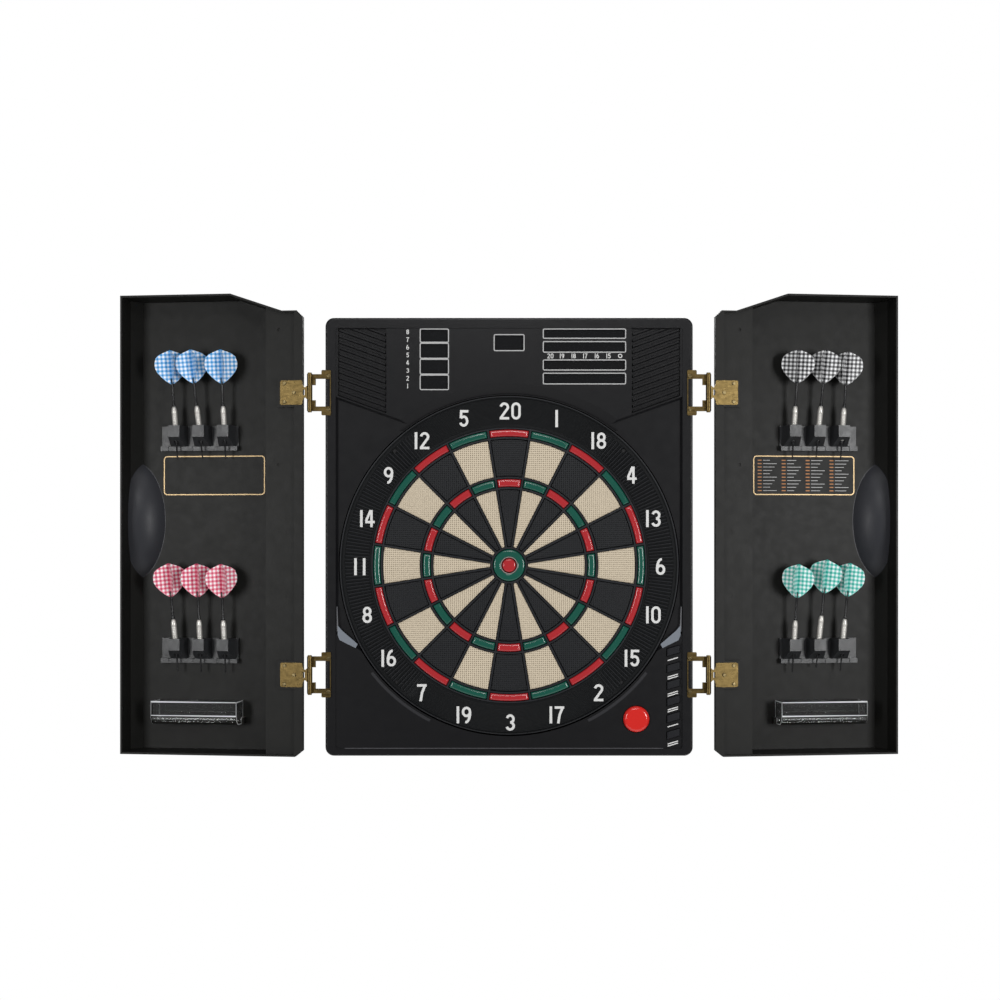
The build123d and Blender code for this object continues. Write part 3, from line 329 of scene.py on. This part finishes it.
SPEAKER = plated("speaker_steel", (0.35, 0.35, 0.36), 0.4)
CELL = glossy("cell_blue", (0.02, 0.08, 0.22))
BLACK_GLOSS = moulded("shaft_black", (0.010, 0.010, 0.011), 0.2, 0.3)
WHITE = principled("print_white", (0.66, 0.66, 0.65), 0.5)
LINE_GREY = principled("print_light_grey", (0.42, 0.42, 0.42), 0.5)
PRINT_ORANGE = principled("print_orange", (0.42, 0.16, 0.035), 0.5)
GOLD = principled("print_gold", (0.50, 0.34, 0.15), 0.35, Metallic=0.2)
PALE = principled("pale_outline", (0.30, 0.24, 0.23), 0.4)
# Painted highlights: light-coloured stand-ins for the light caught by the housing's bevels, the step's face, the
# field's bottom edge and the ring's lower lip.
BEVEL_HIGHLIGHT = principled("painted_bevel_highlight", (0.19, 0.21, 0.24), 0.22)
DIM_HIGHLIGHT = principled("painted_dim_highlight", (0.13, 0.13, 0.14), 0.3)
LIP_HIGHLIGHT = principled("painted_lip_highlight", (0.024, 0.024, 0.027), 0.3)
# Painted highlight: pale, part-clear colour for the light caught by the clear trays' edges.
TRAY_EDGE_HIGHLIGHT = principled("painted_tray_edge_highlight", (0.80, 0.82, 0.84), 0.35, Transmission_Weight=0.25)

LOOKS = {
    HOUSING: "front_bezel battery_door",
    REAR: "rear_shell power_jack",
    RING: "catch_ring",
    WEB: "spider_grid",
    DOOR: "left_door_shell right_door_shell",
    HOLDER: "left_dart_holders right_dart_holders",
    RED: "doubles_red trebles_red inner_bull",
    GREEN: "doubles_green trebles_green outer_bull",
    BLACK: "outer_singles_black inner_singles_black",
    CREAM: "outer_singles_cream inner_singles_cream",
    BUTTON: "red_button",
    KEY: "key_mat key_1 key_2 key_3 key_4 key_5 key_6",
    BRASS: "hinge_frame_leaves left_hinge_leaves right_hinge_leaves hinge_pins",
    STEEL: "frame_hinge_screws left_door_screws right_door_screws button_spring",
    DARK_SCREW: "housing_screws",
    ACRYLIC: "left_tray right_tray",
    LENS: "display_lens",
    PAD: "segment_pad",
    FILM: "contact_matrix",
    HARDBOARD: "backing_board",
    BOARD: "main_board",
    MODULE: "display_board",
    SPEAKER: "speaker",
    CELL: "batteries",
}
for material, names in LOOKS.items():
    for name in names.split():
        NODES[name].data.materials.clear()
        NODES[name].data.materials.append(material)


# ---------------------------------------------------------------- making pieces
# Thickness of a printed layer, and the extra for each stroke that crosses an earlier one.
INK, LAYER = 0.12, 0.02


def piece(name, mesh, body, slot, *materials):
    """Object from a finished bmesh in the row's frame, riding on a body."""
    data = bpy.data.meshes.new(name)
    mesh.to_mesh(data)
    mesh.free()
    for material in materials:
        data.materials.append(material)
    made = bpy.data.objects.new(name, data)
    bpy.context.scene.collection.objects.link(made)
    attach(made, body)
    return made


class Sheet:
    """A flat printed layer: closed outlines of a given thickness on a plane."""

    def __init__(self, origin, right, up, out):
        self.mesh = bmesh.new()
        self.origin, self.right, self.up, self.out = map(Vector, (origin, right, up, out))

    def at(self, x, z, lift):
        """Place of a point in the scene, lifted off the plane."""
        return self.origin + (self.right * x + self.up * z + self.out * lift) * MM

    def outline(self, points, lift=INK, material=0):
        """Filled shape with walls down to the plane."""
        low = [self.mesh.verts.new(self.at(x, z, 0.0)) for x, z in points]
        top = [self.mesh.verts.new(self.at(x, z, lift)) for x, z in points]
        faces = [self.mesh.faces.new(top)]
        for i in range(len(points)):
            j = (i + 1) % len(points)
            faces.append(self.mesh.faces.new((low[i], low[j], top[j], top[i])))
        for face in faces:
            face.material_index = material

    def stroke(self, points, width, closed=False, lift=INK, material=0):
        """Ribbon of even width along a path, with square ends."""
        count = len(points)
        sides = []
        for i, (x, z) in enumerate(points):
            before = points[(i - 1) % count] if closed or i else points[0]
            after = points[(i + 1) % count] if closed or i < count - 1 else points[-1]
            way = Vector((after[0] - before[0], after[1] - before[1])).normalized()
            across = Vector((-way.y, way.x)) * width / 2
            if closed or 0 < i < count - 1:
                first = Vector((x - before[0], z - before[1])).normalized()
                across /= max(0.5, abs(Vector((-first.y, first.x)).dot(Vector((-way.y, way.x)))))
            sides.append(((x + across.x, z + across.y), (x - across.x, z - across.y)))
        pairs = list(zip(sides, sides[1:] + sides[:1] if closed else sides[1:]))
        for (a, b), (c, d) in pairs:
            top = [self.mesh.verts.new(self.at(*p, lift)) for p in (a, b, d, c)]
            self.mesh.faces.new(top).material_index = material
        for k in (0, 1):
            for one, two in pairs:
                p, q = one[k], two[k]
                wall = [self.at(*p, 0.0), self.at(*q, 0.0), self.at(*q, lift), self.at(*p, lift)]
                self.mesh.faces.new([self.mesh.verts.new(v) for v in wall]).material_index = material

    def done(self, name, body, slot, *materials):
        """Joins the strokes and makes the piece."""
        bmesh.ops.remove_doubles(self.mesh, verts=self.mesh.verts, dist=1e-7)
        bmesh.ops.recalc_face_normals(self.mesh, faces=self.mesh.faces)
        return piece(name, self.mesh, body, slot, *materials)


def arc(centre_x, centre_z, radius_x, radius_z, start, end, steps):
    """Points on an arc of an ellipse, between two angles in degrees."""
    turns = [math.radians(start + (end - start) * i / steps) for i in range(steps + 1)]
    return [(centre_x + radius_x * math.cos(t), centre_z + radius_z * math.sin(t)) for t in turns]


def circle(centre_x, centre_z, radius, steps):
    """Points on a full circle."""
    return arc(centre_x, centre_z, radius, radius, 0, 360, steps)[:-1]


def box(left, bottom, right, top):
    """The four corners of a rectangle."""
    return [(left, bottom), (right, bottom), (right, top), (left, top)]


# Strokes of the ten digits, centred on the origin. The pen's middle reaches A sideways and H up and down. A loop
# is closed, and a bar is drawn with the pen of the 1.
A, H, PEN = 4.4, 9.2, 3.15
HALF = PEN / 2
DIGITS = {
    "0": [("loop", arc(0, H - 4.6, A, 4.6, 0, 180, 12) + arc(0, 4.6 - H, A, 4.6, 180, 360, 12))],
    "1": [("bar", [(0, -H - HALF), (0, H + HALF)])],
    "2": [
        ("line", arc(0, H - 4.3, A, 4.3, 172, -38, 14) + [(-A + 0.6, -H + 1.5), (-A, -H + 0.2)]),
        ("line", [(-A - HALF, -H), (A + HALF, -H)]),
    ],
    "3": [
        ("line", arc(0, 4.4, A - 0.3, 4.35, 165, -90, 16)),
        ("line", arc(0, -4.35, A, 4.4, 90, -165, 16)),
    ],
    "4": [
        ("line", [(1.9, -H - HALF), (1.9, H + HALF)]),
        ("line", [(0.9, H + HALF), (-A - 0.5, -3.0)]),
        ("line", [(-A - HALF, -4.4), (A + HALF, -4.4)]),
    ],
    "5": [
        ("line", [(-3.4, H), (A + 1.4, H)]),
        ("line", [(-3.1, H + HALF), (-3.6, 0.4)]),
        ("line", arc(-0.1, -3.2, A, 5.55, 140, -158, 18)),
    ],
    "6": [
        ("loop", arc(0, -3.7, A, 5.05, 0, 360, 22)[:-1]),
        ("line", arc(0.9, -3.0, A + 0.9, H + 3.0, 180, 82, 12)),
    ],
    "7": [
        ("line", [(-A - HALF, H), (A + 1.6, H)]),
        ("line", [(A - 0.4, H), (0.2, 0.0), (-1.5, -H - HALF)]),
    ],
    "8": [
        ("loop", arc(0, 4.5, A - 0.5, 4.25, 0, 360, 20)[:-1]),
        ("loop", arc(0, -4.2, A, 4.55, 0, 360, 20)[:-1]),
    ],
    "9": [
        ("loop", arc(0, 3.7, A, 5.05, 0, 360, 22)[:-1]),
        ("line", arc(-0.9, 3.0, A + 0.9, H + 3.0, 0, -98, 12)),
    ],
}
# Widths of a digit, of a 1 and of each 1 in 11, the pen of a 1, and the gap between digits.
DIGIT_W, ONE_W, WIDE_ONE_W, ONE_PEN, DIGIT_GAP = 12.1, 4.4, 8.3, 3.3, 2.6


def write_number(sheet, text, x, z, scale=1.0):
    """Upright number centred on a point."""
    one_width = WIDE_ONE_W if text == "11" else ONE_W
    widths = [one_width if digit == "1" else DIGIT_W for digit in text]
    cursor = -(sum(widths) + DIGIT_GAP * (len(text) - 1)) / 2
    for digit, width in zip(text, widths):
        middle = cursor + width / 2
        for layer, (kind, path) in enumerate(DIGITS[digit]):
            placed = [(x + (px + middle) * scale, z + pz * scale) for px, pz in path]
            pen = (ONE_PEN if kind == "bar" else PEN) * scale
            sheet.stroke(placed, pen, kind == "loop", INK + LAYER * layer)
        cursor += width + DIGIT_GAP


def rounded(left, bottom, right, top, radius):
    """Rounded rectangle as a path."""
    corners = ((right, top, 0), (left, top, 90), (left, bottom, 180), (right, bottom, 270))
    path = []
    for x, z, start in corners:
        inward_x = -radius if x == right else radius
        inward_z = -radius if z == top else radius
        path += arc(x + inward_x, z + inward_z, radius, radius, start, start + 90, 5)
    return path


def facing(depth):
    """Sheet on a plane facing the player, this far in front of the wall."""
    return Sheet((0, -depth * MM, 0), (1, 0, 0), (0, 0, 1), (0, -1, 0))


# ---------------------------------------------------------------- number ring
# How far the number ring, the outer bull and the housing's flat fields stand in front of the wall.
RING_FRONT, BULL_FRONT, FIELD_FRONT = 74.4, 75.45, 77.0
numerals = facing(RING_FRONT)
# The numerals stand on a slightly tall oval, a little below the bull's eye.
NUMERAL_X, NUMERAL_Z, NUMERAL_REACH_X, NUMERAL_REACH_Z = 1.4, -1.7, 189.7, 196.5
ORDER = (20, 1, 18, 4, 13, 6, 10, 15, 2, 17, 3, 19, 7, 16, 8, 11, 14, 9, 12, 5)
for index, number in enumerate(ORDER):
    bearing = math.radians(360 / len(ORDER) * index)
    x = NUMERAL_X + NUMERAL_REACH_X * math.sin(bearing)
    z = NUMERAL_Z + NUMERAL_REACH_Z * math.cos(bearing)
    write_number(numerals, str(number), x, z)
numerals.done("ring_numerals", "housing", "web_plastic", WHITE)

BULL_LINE_R, BULL_LINE_W, BULL_LINE_H = 10.4, 0.9, 0.13
bull_line = facing(BULL_FRONT)
bull_line.stroke(circle(0, 0, BULL_LINE_R, 48), BULL_LINE_W, True, BULL_LINE_H)
bull_line.done("bull_outline", "outer_bull", "green_segment", PALE)

# ---------------------------------------------------------------- display print and keys
# Outlined windows, as left, bottom, right and top: four at the left, one in the middle, four at the right.
LEFT_WINDOW_EDGES = (298.5, 280.5, 260.3, 240.4, 220.8)
RIGHT_WINDOWS = ((285.5, 298.5), (268, 282.6), (245.5, 259.5), (228, 242.8))
WINDOWS = [(-112.7, low, -75.7, high) for high, low in zip(LEFT_WINDOW_EDGES, LEFT_WINDOW_EDGES[1:])]
WINDOWS += [(-19.5, 269.9, 19.5, 291.4)]
WINDOWS += [(42.4, low, 147.5, high) for low, high in RIGHT_WINDOWS]
LINE, WINDOW_CORNER, THIN_INK = 1.3, 1.6, 0.10
# Marks 8 to 1 down the left side, and 20 to 15 and a small circle between the windows at the right.
MARK_X, MARK_TOP, MARK_PITCH, MARK_SCALE = -127.8, 294.2, 9.73, 0.28
TARGET_X, TARGET_Z, TARGET_PITCH, TARGET_SCALE = 52, 263.9, 14.65, 0.29
BULL_MARK_X, BULL_MARK_R, BULL_MARK_W = 139.9, 2.2, 1.1
# Slanted bars beside the keys: one or two for each key, from top to bottom.
KEY_Z, KEY_LINES = (-118, -138.8, -160.3, -180.2, -201.7, -223.2), (1, 2, 2, 2, 1, 2)
KEY_BAR_X, KEY_BAR_RISE, KEY_BAR_PITCH = (199.8, 212.8), 2.0, 2.6

prints = facing(FIELD_FRONT)
for row, (left, bottom, right, top) in enumerate(WINDOWS):
    inset = LINE / 2
    path = rounded(left + inset, bottom + inset, right - inset, top - inset, WINDOW_CORNER)
    # Stacked outlines overlap, so every second one is a little thicker.
    prints.stroke(path, LINE, True, THIN_INK + 0.01 * (row % 2), 1)
for row in range(8):
    write_number(prints, str(8 - row), MARK_X, MARK_TOP - MARK_PITCH * row, MARK_SCALE)
for column in range(6):
    write_number(prints, str(20 - column), TARGET_X + TARGET_PITCH * column, TARGET_Z, TARGET_SCALE)
prints.stroke(circle(BULL_MARK_X, TARGET_Z, BULL_MARK_R, 16), BULL_MARK_W, True)
for z, lines in zip(KEY_Z, KEY_LINES):
    for line in range(lines):
        base = z - KEY_BAR_PITCH * line
        path = [(KEY_BAR_X[0], base - KEY_BAR_RISE), (KEY_BAR_X[1], base + KEY_BAR_RISE)]
        prints.stroke(path, LINE, False, THIN_INK)
prints.done("panel_print", "housing", "housing_plastic", WHITE, LINE_GREY)

# Painted highlights: thin light-coloured pieces laid flat on the field, standing in for the light caught by the
# bevels beside the lower part of the ring, by the ring's lower lip and by the field's bottom edge. The bevel is
# listed for the left side and the step's upright face for the right.
STEP_BEVEL = [(-216.0, -75.4), (-216.0, -87.9), (-213.5, -94.2)]
STEP_BEVEL += [(-193.3, -104.2), (-190.8, -99.2), (-211.0, -81.7)]
STEP_FACE = [(217.3, -52), (217.0, -84), (215.2, -80), (216.4, -52)]
BEVEL_H = 0.16
LIP_R, LIP_START, LIP_END, LIP_W = 219.5, 218, 243, 3.6
BOTTOM_EDGE, BOTTOM_EDGE_W = [(-207, -230.4), (194, -230.4)], 0.6
edges = facing(FIELD_FRONT)
for side in (-1, 1):
    edges.outline([(side * x, z) for x, z in STEP_BEVEL], BEVEL_H, 0)
    edges.outline([(side * x, z) for x, z in STEP_FACE], INK, 1)
    lip = arc(0, 0, LIP_R, LIP_R, LIP_START, LIP_END, 20)
    edges.stroke([(side * x, z) for x, z in lip], LIP_W, False, INK, 2)
edges.stroke(BOTTOM_EDGE, BOTTOM_EDGE_W, False, INK, 1)
edges.done("step_edge_highlights", "housing", "housing_plastic", BEVEL_HIGHLIGHT, DIM_HIGHLIGHT, LIP_HIGHLIGHT)

# ---------------------------------------------------------------- the button's spring
BUTTON_X, BUTTON_Z = 160.3, -193.6
# Coil's middle radius, wire's radius, pitch and turns, and how far its back end is from the wall.
SPRING_R, SPRING_WIRE, SPRING_PITCH, SPRING_TURNS, SPRING_SEAT = 7.0, 0.58, 2.4, 4, 60.8
STEPS_PER_TURN, WIRE_SIDES = 24, 8
coil = bmesh.new()
rings = []
for step in range(SPRING_TURNS * STEPS_PER_TURN + 1):
    turn = 2 * math.pi * step / STEPS_PER_TURN
    outward = Vector((math.cos(turn), 0, math.sin(turn)))
    reach = SPRING_SEAT + SPRING_PITCH * step / STEPS_PER_TURN
    centre = Vector((BUTTON_X, -reach, BUTTON_Z)) + outward * SPRING_R
    spots = [2 * math.pi * k / WIRE_SIDES for k in range(WIRE_SIDES)]
    wire = [centre + (outward * math.cos(t) + Vector((0, math.sin(t), 0))) * SPRING_WIRE for t in spots]
    rings.append([coil.verts.new(spot * MM) for spot in wire])
for low, high in zip(rings, rings[1:]):
    for k in range(WIRE_SIDES):
        j = (k + 1) % WIRE_SIDES
        coil.faces.new((low[k], low[j], high[j], high[k])).smooth = True
coil.faces.new(rings[0])
coil.faces.new(rings[-1])
bmesh.ops.recalc_face_normals(coil, faces=coil.faces)
spring = piece("button_spring_look", coil, "housing", "screw_steel", STEEL)
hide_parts("button_spring")
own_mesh(spring)

# ---------------------------------------------------------------- doors
# An open left door leans back from its hinge axis by LEAN. U runs along it, W into it from its rim, and Z up.
LEAN = math.radians(7)
AXIS = Vector((-250.6, -82.0, 0.0))
ALONG = Vector((-math.cos(LEAN), math.sin(LEAN), 0))
INWARD = Vector((math.sin(LEAN), math.cos(LEAN), 0))
UP = Vector((0, 0, 1))
RIM_W, PANEL_W = -0.4, 47.5


def flip(vector, side):
    """A vector of the left door for side 1, or its mirror image for side -1."""
    return Vector((vector.x * side, vector.y, vector.z))


def on_door(side, w):
    """Sheet parallel to a door's panel, at depth w; its x runs along U."""
    origin = AXIS + INWARD * (RIM_W + w)
    return Sheet(flip(origin, side) * MM, flip(ALONG, side), UP, flip(-INWARD, side))


def door_spot(side, u, w, z):
    """Place in the scene of a point of a door."""
    return flip(AXIS + ALONG * u + INWARD * (RIM_W + w) + UP * z, side) * MM


DOORS = ((1, "left"), (-1, "right"))
# Gold frame of the labels, and the right label's list, each line of it an orange bar and a grey one.
FRAME, FRAME_CORNER = (71.8, 91.0, 205.7, 140.6), 4.0
LIST_COLUMNS, LIST_U, LIST_COLUMN_PITCH = 4, 77, 32.0
LIST_ROWS, LIST_TOP, LIST_ROW_PITCH = 10, 135.2, 4.35
CODE_LENGTH, CODE_HALF_H = 5.2, 0.7
# The grey bars have four lengths, like the names in a list.
NAME_START, NAME_HALF_H, NAME_LENGTH, NAME_STEP = 7.2, 0.4, 9, 3.1
for side, name in DOORS:
    label = on_door(side, PANEL_W)
    label.stroke(rounded(*FRAME, FRAME_CORNER), LINE, True)
    if side < 0:
        for cell in range(LIST_COLUMNS * LIST_ROWS):
            column, row = divmod(cell, LIST_ROWS)
            start = LIST_U + LIST_COLUMN_PITCH * column
            z = LIST_TOP - LIST_ROW_PITCH * row
            label.outline(box(start, z - CODE_HALF_H, start + CODE_LENGTH, z + CODE_HALF_H), THIN_INK, 1)
            bar = start + NAME_START
            length = NAME_LENGTH + NAME_STEP * ((row * 7 + column * 5) % 4)
            label.outline(box(bar, z - NAME_HALF_H, bar + length, z + NAME_HALF_H), THIN_INK, 2)
    label.done(f"{name}_door_label", f"{name}_door", "door_plastic", GOLD, PRINT_ORANGE, LINE_GREY)

# Painted highlights on the clear trays: pale, part-clear strips along the front wall's edge and round the
# round-bottomed ends with their bosses, standing in for the light their edges catch.
TRAY_U, TRAY_W, TRAY_Z = (100.0, 213.0), (16.5, 46.0), (-205.0, -175.0)
TRAY_BACK_R, TRAY_FRONT_R, EDGE_W, EDGE_INSET = 4.0, 11.5, 0.9, 0.5
PIVOT_W, PIVOT_Z, PIVOT_R, PIVOT_LINE = 41.5, -200.5, 3.2, 0.8
for side, name in DOORS:
    top = TRAY_Z[1] - EDGE_INSET
    back, front = EDGE_INSET - TRAY_W[1], -EDGE_INSET - TRAY_W[0]
    back_z, front_z = (TRAY_Z[0] + EDGE_INSET + radius for radius in (TRAY_BACK_R, TRAY_FRONT_R))
    face = on_door(side, TRAY_W[0])
    face.stroke(box(TRAY_U[0] + EDGE_INSET, front_z, TRAY_U[1] - EDGE_INSET, top), EDGE_W, True)
    face.done(f"{name}_tray_front_edge_highlight", f"{name}_tray", "clear_acrylic", TRAY_EDGE_HIGHLIGHT)
    for end, out in ((TRAY_U[0], -1), (TRAY_U[1], 1)):
        cap = Sheet(door_spot(side, end, 0, 0), flip(-INWARD, side), UP, flip(ALONG, side) * out)
        section = [(back, top)]
        section += arc(back + TRAY_BACK_R, back_z, TRAY_BACK_R, TRAY_BACK_R, 180, 270, 5)
        section += arc(front - TRAY_FRONT_R, front_z, TRAY_FRONT_R, TRAY_FRONT_R, 270, 360, 9)
        section += [(front, top)]
        cap.stroke(section, EDGE_W, True)
        cap.stroke(circle(-PIVOT_W, PIVOT_Z, PIVOT_R, 20), PIVOT_LINE, True)
        which = "inner" if out < 0 else "outer"
        cap.done(f"{name}_tray_cap_highlight_{which}", f"{name}_tray", "clear_acrylic", TRAY_EDGE_HIGHLIGHT)


# ---------------------------------------------------------------- darts
DART_U = (119.5, 151.8, 184.0)
# For each set: the door's side, the tips' height, and each dart's sideways lean and turn in degrees and rise.
DART_POSES = {
    "blue": (1, 136.0, ((1.3, 27, 0.0), (5.0, 33, 1.0), (2.3, 30, 0.0))),
    "red": (1, -138.5, ((1.0, 35, 0.0), (0.8, 27, 0.5), (3.5, 31, 1.0))),
    "black": (-1, 136.0, ((1.9, 22, 0.0), (3.9, 32, 0.5), (2.2, 36, -1.5))),
    "teal": (-1, -138.5, ((1.9, 34, 0.0), (4.3, 30, 6.0), (3.5, 35, 1.5))),
}
FLIGHT_COLOURS = {
    "blue": gingham("flight_blue", (0.02, 0.33, 0.76)),
    "red": gingham("flight_red", (0.72, 0.04, 0.14)),
    "black": gingham("flight_black", (0.010, 0.010, 0.014)),
    "teal": gingham("flight_teal", (0.010, 0.50, 0.42)),
}
DART_W, BORE_ABOVE_TIP, LEAN_OUT = 30.5, 27.5, math.radians(5.5)
# Heights above the tip, and the grip's radii.
BARREL_LOW, BARREL_TOP, SHAFT_TOP = 26.0, 68.0, 97.0
GRIP_R, GROOVE_R, GRIP_PITCH = 3.55, 3.3, 2.2
# Vanes: half the thickness, the bow at the middle, and the reach and height that the bow runs over.
VANE_HALF, VANE_BOW, BOW_REACH, BOW_HEIGHT = 0.16, 0.5, 21.0, 44.0
VANE_COLUMNS, LATHE_SIDES = 6, 28
# Profiles as radius and height: the soft tip, and the shaft with the stub that holds the flight.
TIP_PROFILE = [(0.01, 0), (0.8, 0.6), (1.1, 18), (2.2, 22), (2.2, BARREL_LOW)]
SHAFT_PROFILE = [(2.0, BARREL_TOP), (2.1, BARREL_TOP + 2.5), (1.35, BARREL_TOP + 5), (1.5, SHAFT_TOP - 3)]
SHAFT_PROFILE += [(1.7, SHAFT_TOP + 6), (0.9, SHAFT_TOP + 7.5), (0.01, SHAFT_TOP + 7.6)]
# Outer edge of a flight vane, as reach and height from the shaft up.
VANE_EDGE = [(1.6, 0), (7.6, 3.9), (12.9, 8.9), (18.0, 14.9), (20.4, 19.8), (20.9, 24.5), (20.7, 28.2)]
VANE_EDGE += [(18.8, 34), (15, 37.3), (10, 39.8), (5, 41.6), (1.6, 43.0), (0.2, 43.4)]


def lathe(mesh, place, profile, material):
    """Turns a (radius, height) profile about the dart's axis."""
    rings = []
    for radius, height in profile:
        angles = [2 * math.pi * k / LATHE_SIDES for k in range(LATHE_SIDES)]
        spots = [Vector((radius * math.cos(t), radius * math.sin(t), height)) for t in angles]
        rings.append([mesh.verts.new(place @ spot) for spot in spots])
    for low, high in zip(rings, rings[1:]):
        for k in range(LATHE_SIDES):
            j = (k + 1) % LATHE_SIDES
            face = mesh.faces.new((low[k], low[j], high[j], high[k]))
            face.material_index = material
            face.smooth = True


def barrel_profile():
    """Straight grip with turned rings and conical ends."""
    profile = [(0.01, BARREL_LOW), (2.4, BARREL_LOW), (GRIP_R, BARREL_LOW + 4)]
    z = BARREL_LOW + 5
    while z < BARREL_TOP - 9:
        profile += [(GRIP_R, z), (GROOVE_R, z + 0.35), (GROOVE_R, z + 0.75), (GRIP_R, z + 1.1)]
        z += GRIP_PITCH
    profile += [(GRIP_R, BARREL_TOP - 6.5), (2.95, BARREL_TOP - 2.5), (2.0, BARREL_TOP), (0.01, BARREL_TOP)]
    return profile


def add_vane(mesh, uv, place, turn):
    """One half vane, a thin plate with a slight bow."""
    cos_t, sin_t = math.cos(math.radians(turn)), math.sin(math.radians(turn))
    for face_side in (-VANE_HALF, VANE_HALF):
        grid = []
        for reach, height in VANE_EDGE:
            line = []
            for k in range(VANE_COLUMNS + 1):
                r = reach * k / VANE_COLUMNS
                bow = VANE_BOW * math.sin(math.pi * r / BOW_REACH) * math.sin(math.pi * height / BOW_HEIGHT)
                across = bow + face_side
                spot = Vector((r * cos_t - across * sin_t, r * sin_t + across * cos_t, SHAFT_TOP + height))
                line.append((mesh.verts.new(place @ spot), (r * MM, height * MM)))
            grid.append(line)
        for low, high in zip(grid, grid[1:]):
            for k in range(VANE_COLUMNS):
                corners = (low[k], low[k + 1], high[k + 1], high[k])
                face = mesh.faces.new([c[0] for c in corners])
                face.smooth = True
                face.material_index = 2
                for loop, corner in zip(face.loops, corners):
                    loop[uv].uv = corner[1]


for colour, (side, set_z, stances) in DART_POSES.items():
    for number, (u, (lean, turn, rise)) in enumerate(zip(DART_U, stances), start=1):
        up = ALONG * math.sin(math.radians(lean)) - INWARD * math.sin(LEAN_OUT) + UP * math.cos(LEAN_OUT)
        up.normalize()
        bore = AXIS + ALONG * u + INWARD * (RIM_W + DART_W) + UP * (set_z + BORE_ABOVE_TIP)
        tip = bore - up * ((BORE_ABOVE_TIP - rise) / up.z)
        across = (ALONG - up * ALONG.dot(up)).normalized()
        third = up.cross(across)
        place = Matrix((
            (across.x, third.x, up.x, tip.x),
            (across.y, third.y, up.y, tip.y),
            (across.z, third.z, up.z, tip.z),
            (0, 0, 0, 1),
        ))
        place = Matrix.Diagonal((side * MM, MM, MM, 1)) @ place
        mesh = bmesh.new()
        uv = mesh.loops.layers.uv.new("UVMap")
        lathe(mesh, place, TIP_PROFILE, 0)
        lathe(mesh, place, barrel_profile(), 1)
        lathe(mesh, place, SHAFT_PROFILE, 0)
        for quarter in range(4):
            add_vane(mesh, uv, place, turn + 90 * quarter)
        bmesh.ops.recalc_face_normals(mesh, faces=mesh.faces)
        node = f"dart_{colour}_{number}"
        made = piece(f"{node}_look", mesh, node, "dart_metal", BLACK_GLOSS, NICKEL, FLIGHT_COLOURS[colour])
        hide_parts(node)


# ---------------------------------------------------------------- light, camera, backdrop
def soft_light(name, place, target, size, power):
    """Rectangular lamp aimed at a point; lengths in metres and power in watts."""
    data = bpy.data.lights.new(name, "AREA")
    data.shape = "RECTANGLE"
    data.size, data.size_y = size
    data.energy = power
    lamp = bpy.data.objects.new(name, data)
    lamp.location = place
    lamp.rotation_euler = (Vector(target) - Vector(place)).to_track_quat("-Z", "Y").to_euler()
    bpy.context.scene.collection.objects.link(lamp)


soft_light("left_box", place=(-1.35, -1.85, 0.10), target=(-0.25, 0, 0.05), size=(0.45, 0.7), power=14)
soft_light("right_box", place=(1.35, -1.85, 0.10), target=(0.25, 0, 0.05), size=(0.45, 0.7), power=20)
soft_light("front_box", place=(0, -2.4, 1.25), target=(0, 0, 0.05), size=(0.7, 0.4), power=11)
soft_light("top_box", place=(0, -1.2, 1.7), target=(0, -0.05, 0.05), size=(1.6, 0.6), power=6)
soft_light("back_box", place=(0, 1.8, 0.9), target=(0, 0, 0), size=(1.2, 0.8), power=16)

# Pale floor, with the bull's eye at its usual height above it. In metres.
BULL_ABOVE_FLOOR, FLOOR_HALF_W = 1.73, 2.3
floor_mesh = bmesh.new()
down = Matrix.Translation((0, 0, -BULL_ABOVE_FLOOR))
bmesh.ops.create_grid(floor_mesh, x_segments=1, y_segments=1, size=FLOOR_HALF_W, matrix=down)
floor_data = bpy.data.meshes.new("floor")
floor_mesh.to_mesh(floor_data)
floor_mesh.free()
glow = {"Emission_Color": (1.0, 1.0, 1.0, 1.0), "Emission_Strength": 0.45}
floor_data.materials.append(principled("pale_floor", (0.80, 0.80, 0.79), 0.7, **glow))
floor = bpy.data.objects.new("floor", floor_data)
bpy.context.scene.collection.objects.link(floor)

# White to the camera, and dim as a light.
FILL, BACKDROP = 0.17, 1.0
world = bpy.data.worlds.new("studio")
world.use_nodes = True
tree = world.node_tree
background = tree.nodes["Background"]
background.inputs["Color"].default_value = (1, 1, 1, 1)
rays = tree.nodes.new("ShaderNodeLightPath")
level = tree.nodes.new("ShaderNodeMapRange")
level.inputs["To Min"].default_value = FILL
level.inputs["To Max"].default_value = BACKDROP
tree.links.new(rays.outputs["Is Camera Ray"], level.inputs["Value"])
tree.links.new(level.outputs[0], background.inputs["Strength"])
bpy.context.scene.world = world
bpy.context.scene.view_settings.view_transform = "Standard"

# Level camera in front of the board, its view shifted to take in the raised top.
camera_data = bpy.data.cameras.new("camera")
camera_data.lens = 56.6
camera_data.sensor_width = 36
camera_data.shift_x = -0.0091
camera_data.shift_y = 0.043
camera = bpy.data.objects.new("camera", camera_data)
camera.location = (0, -2.058, 0.0282)
camera.rotation_euler = (math.pi / 2, 0, 0)
bpy.context.scene.collection.objects.link(camera)
bpy.context.scene.camera = camera
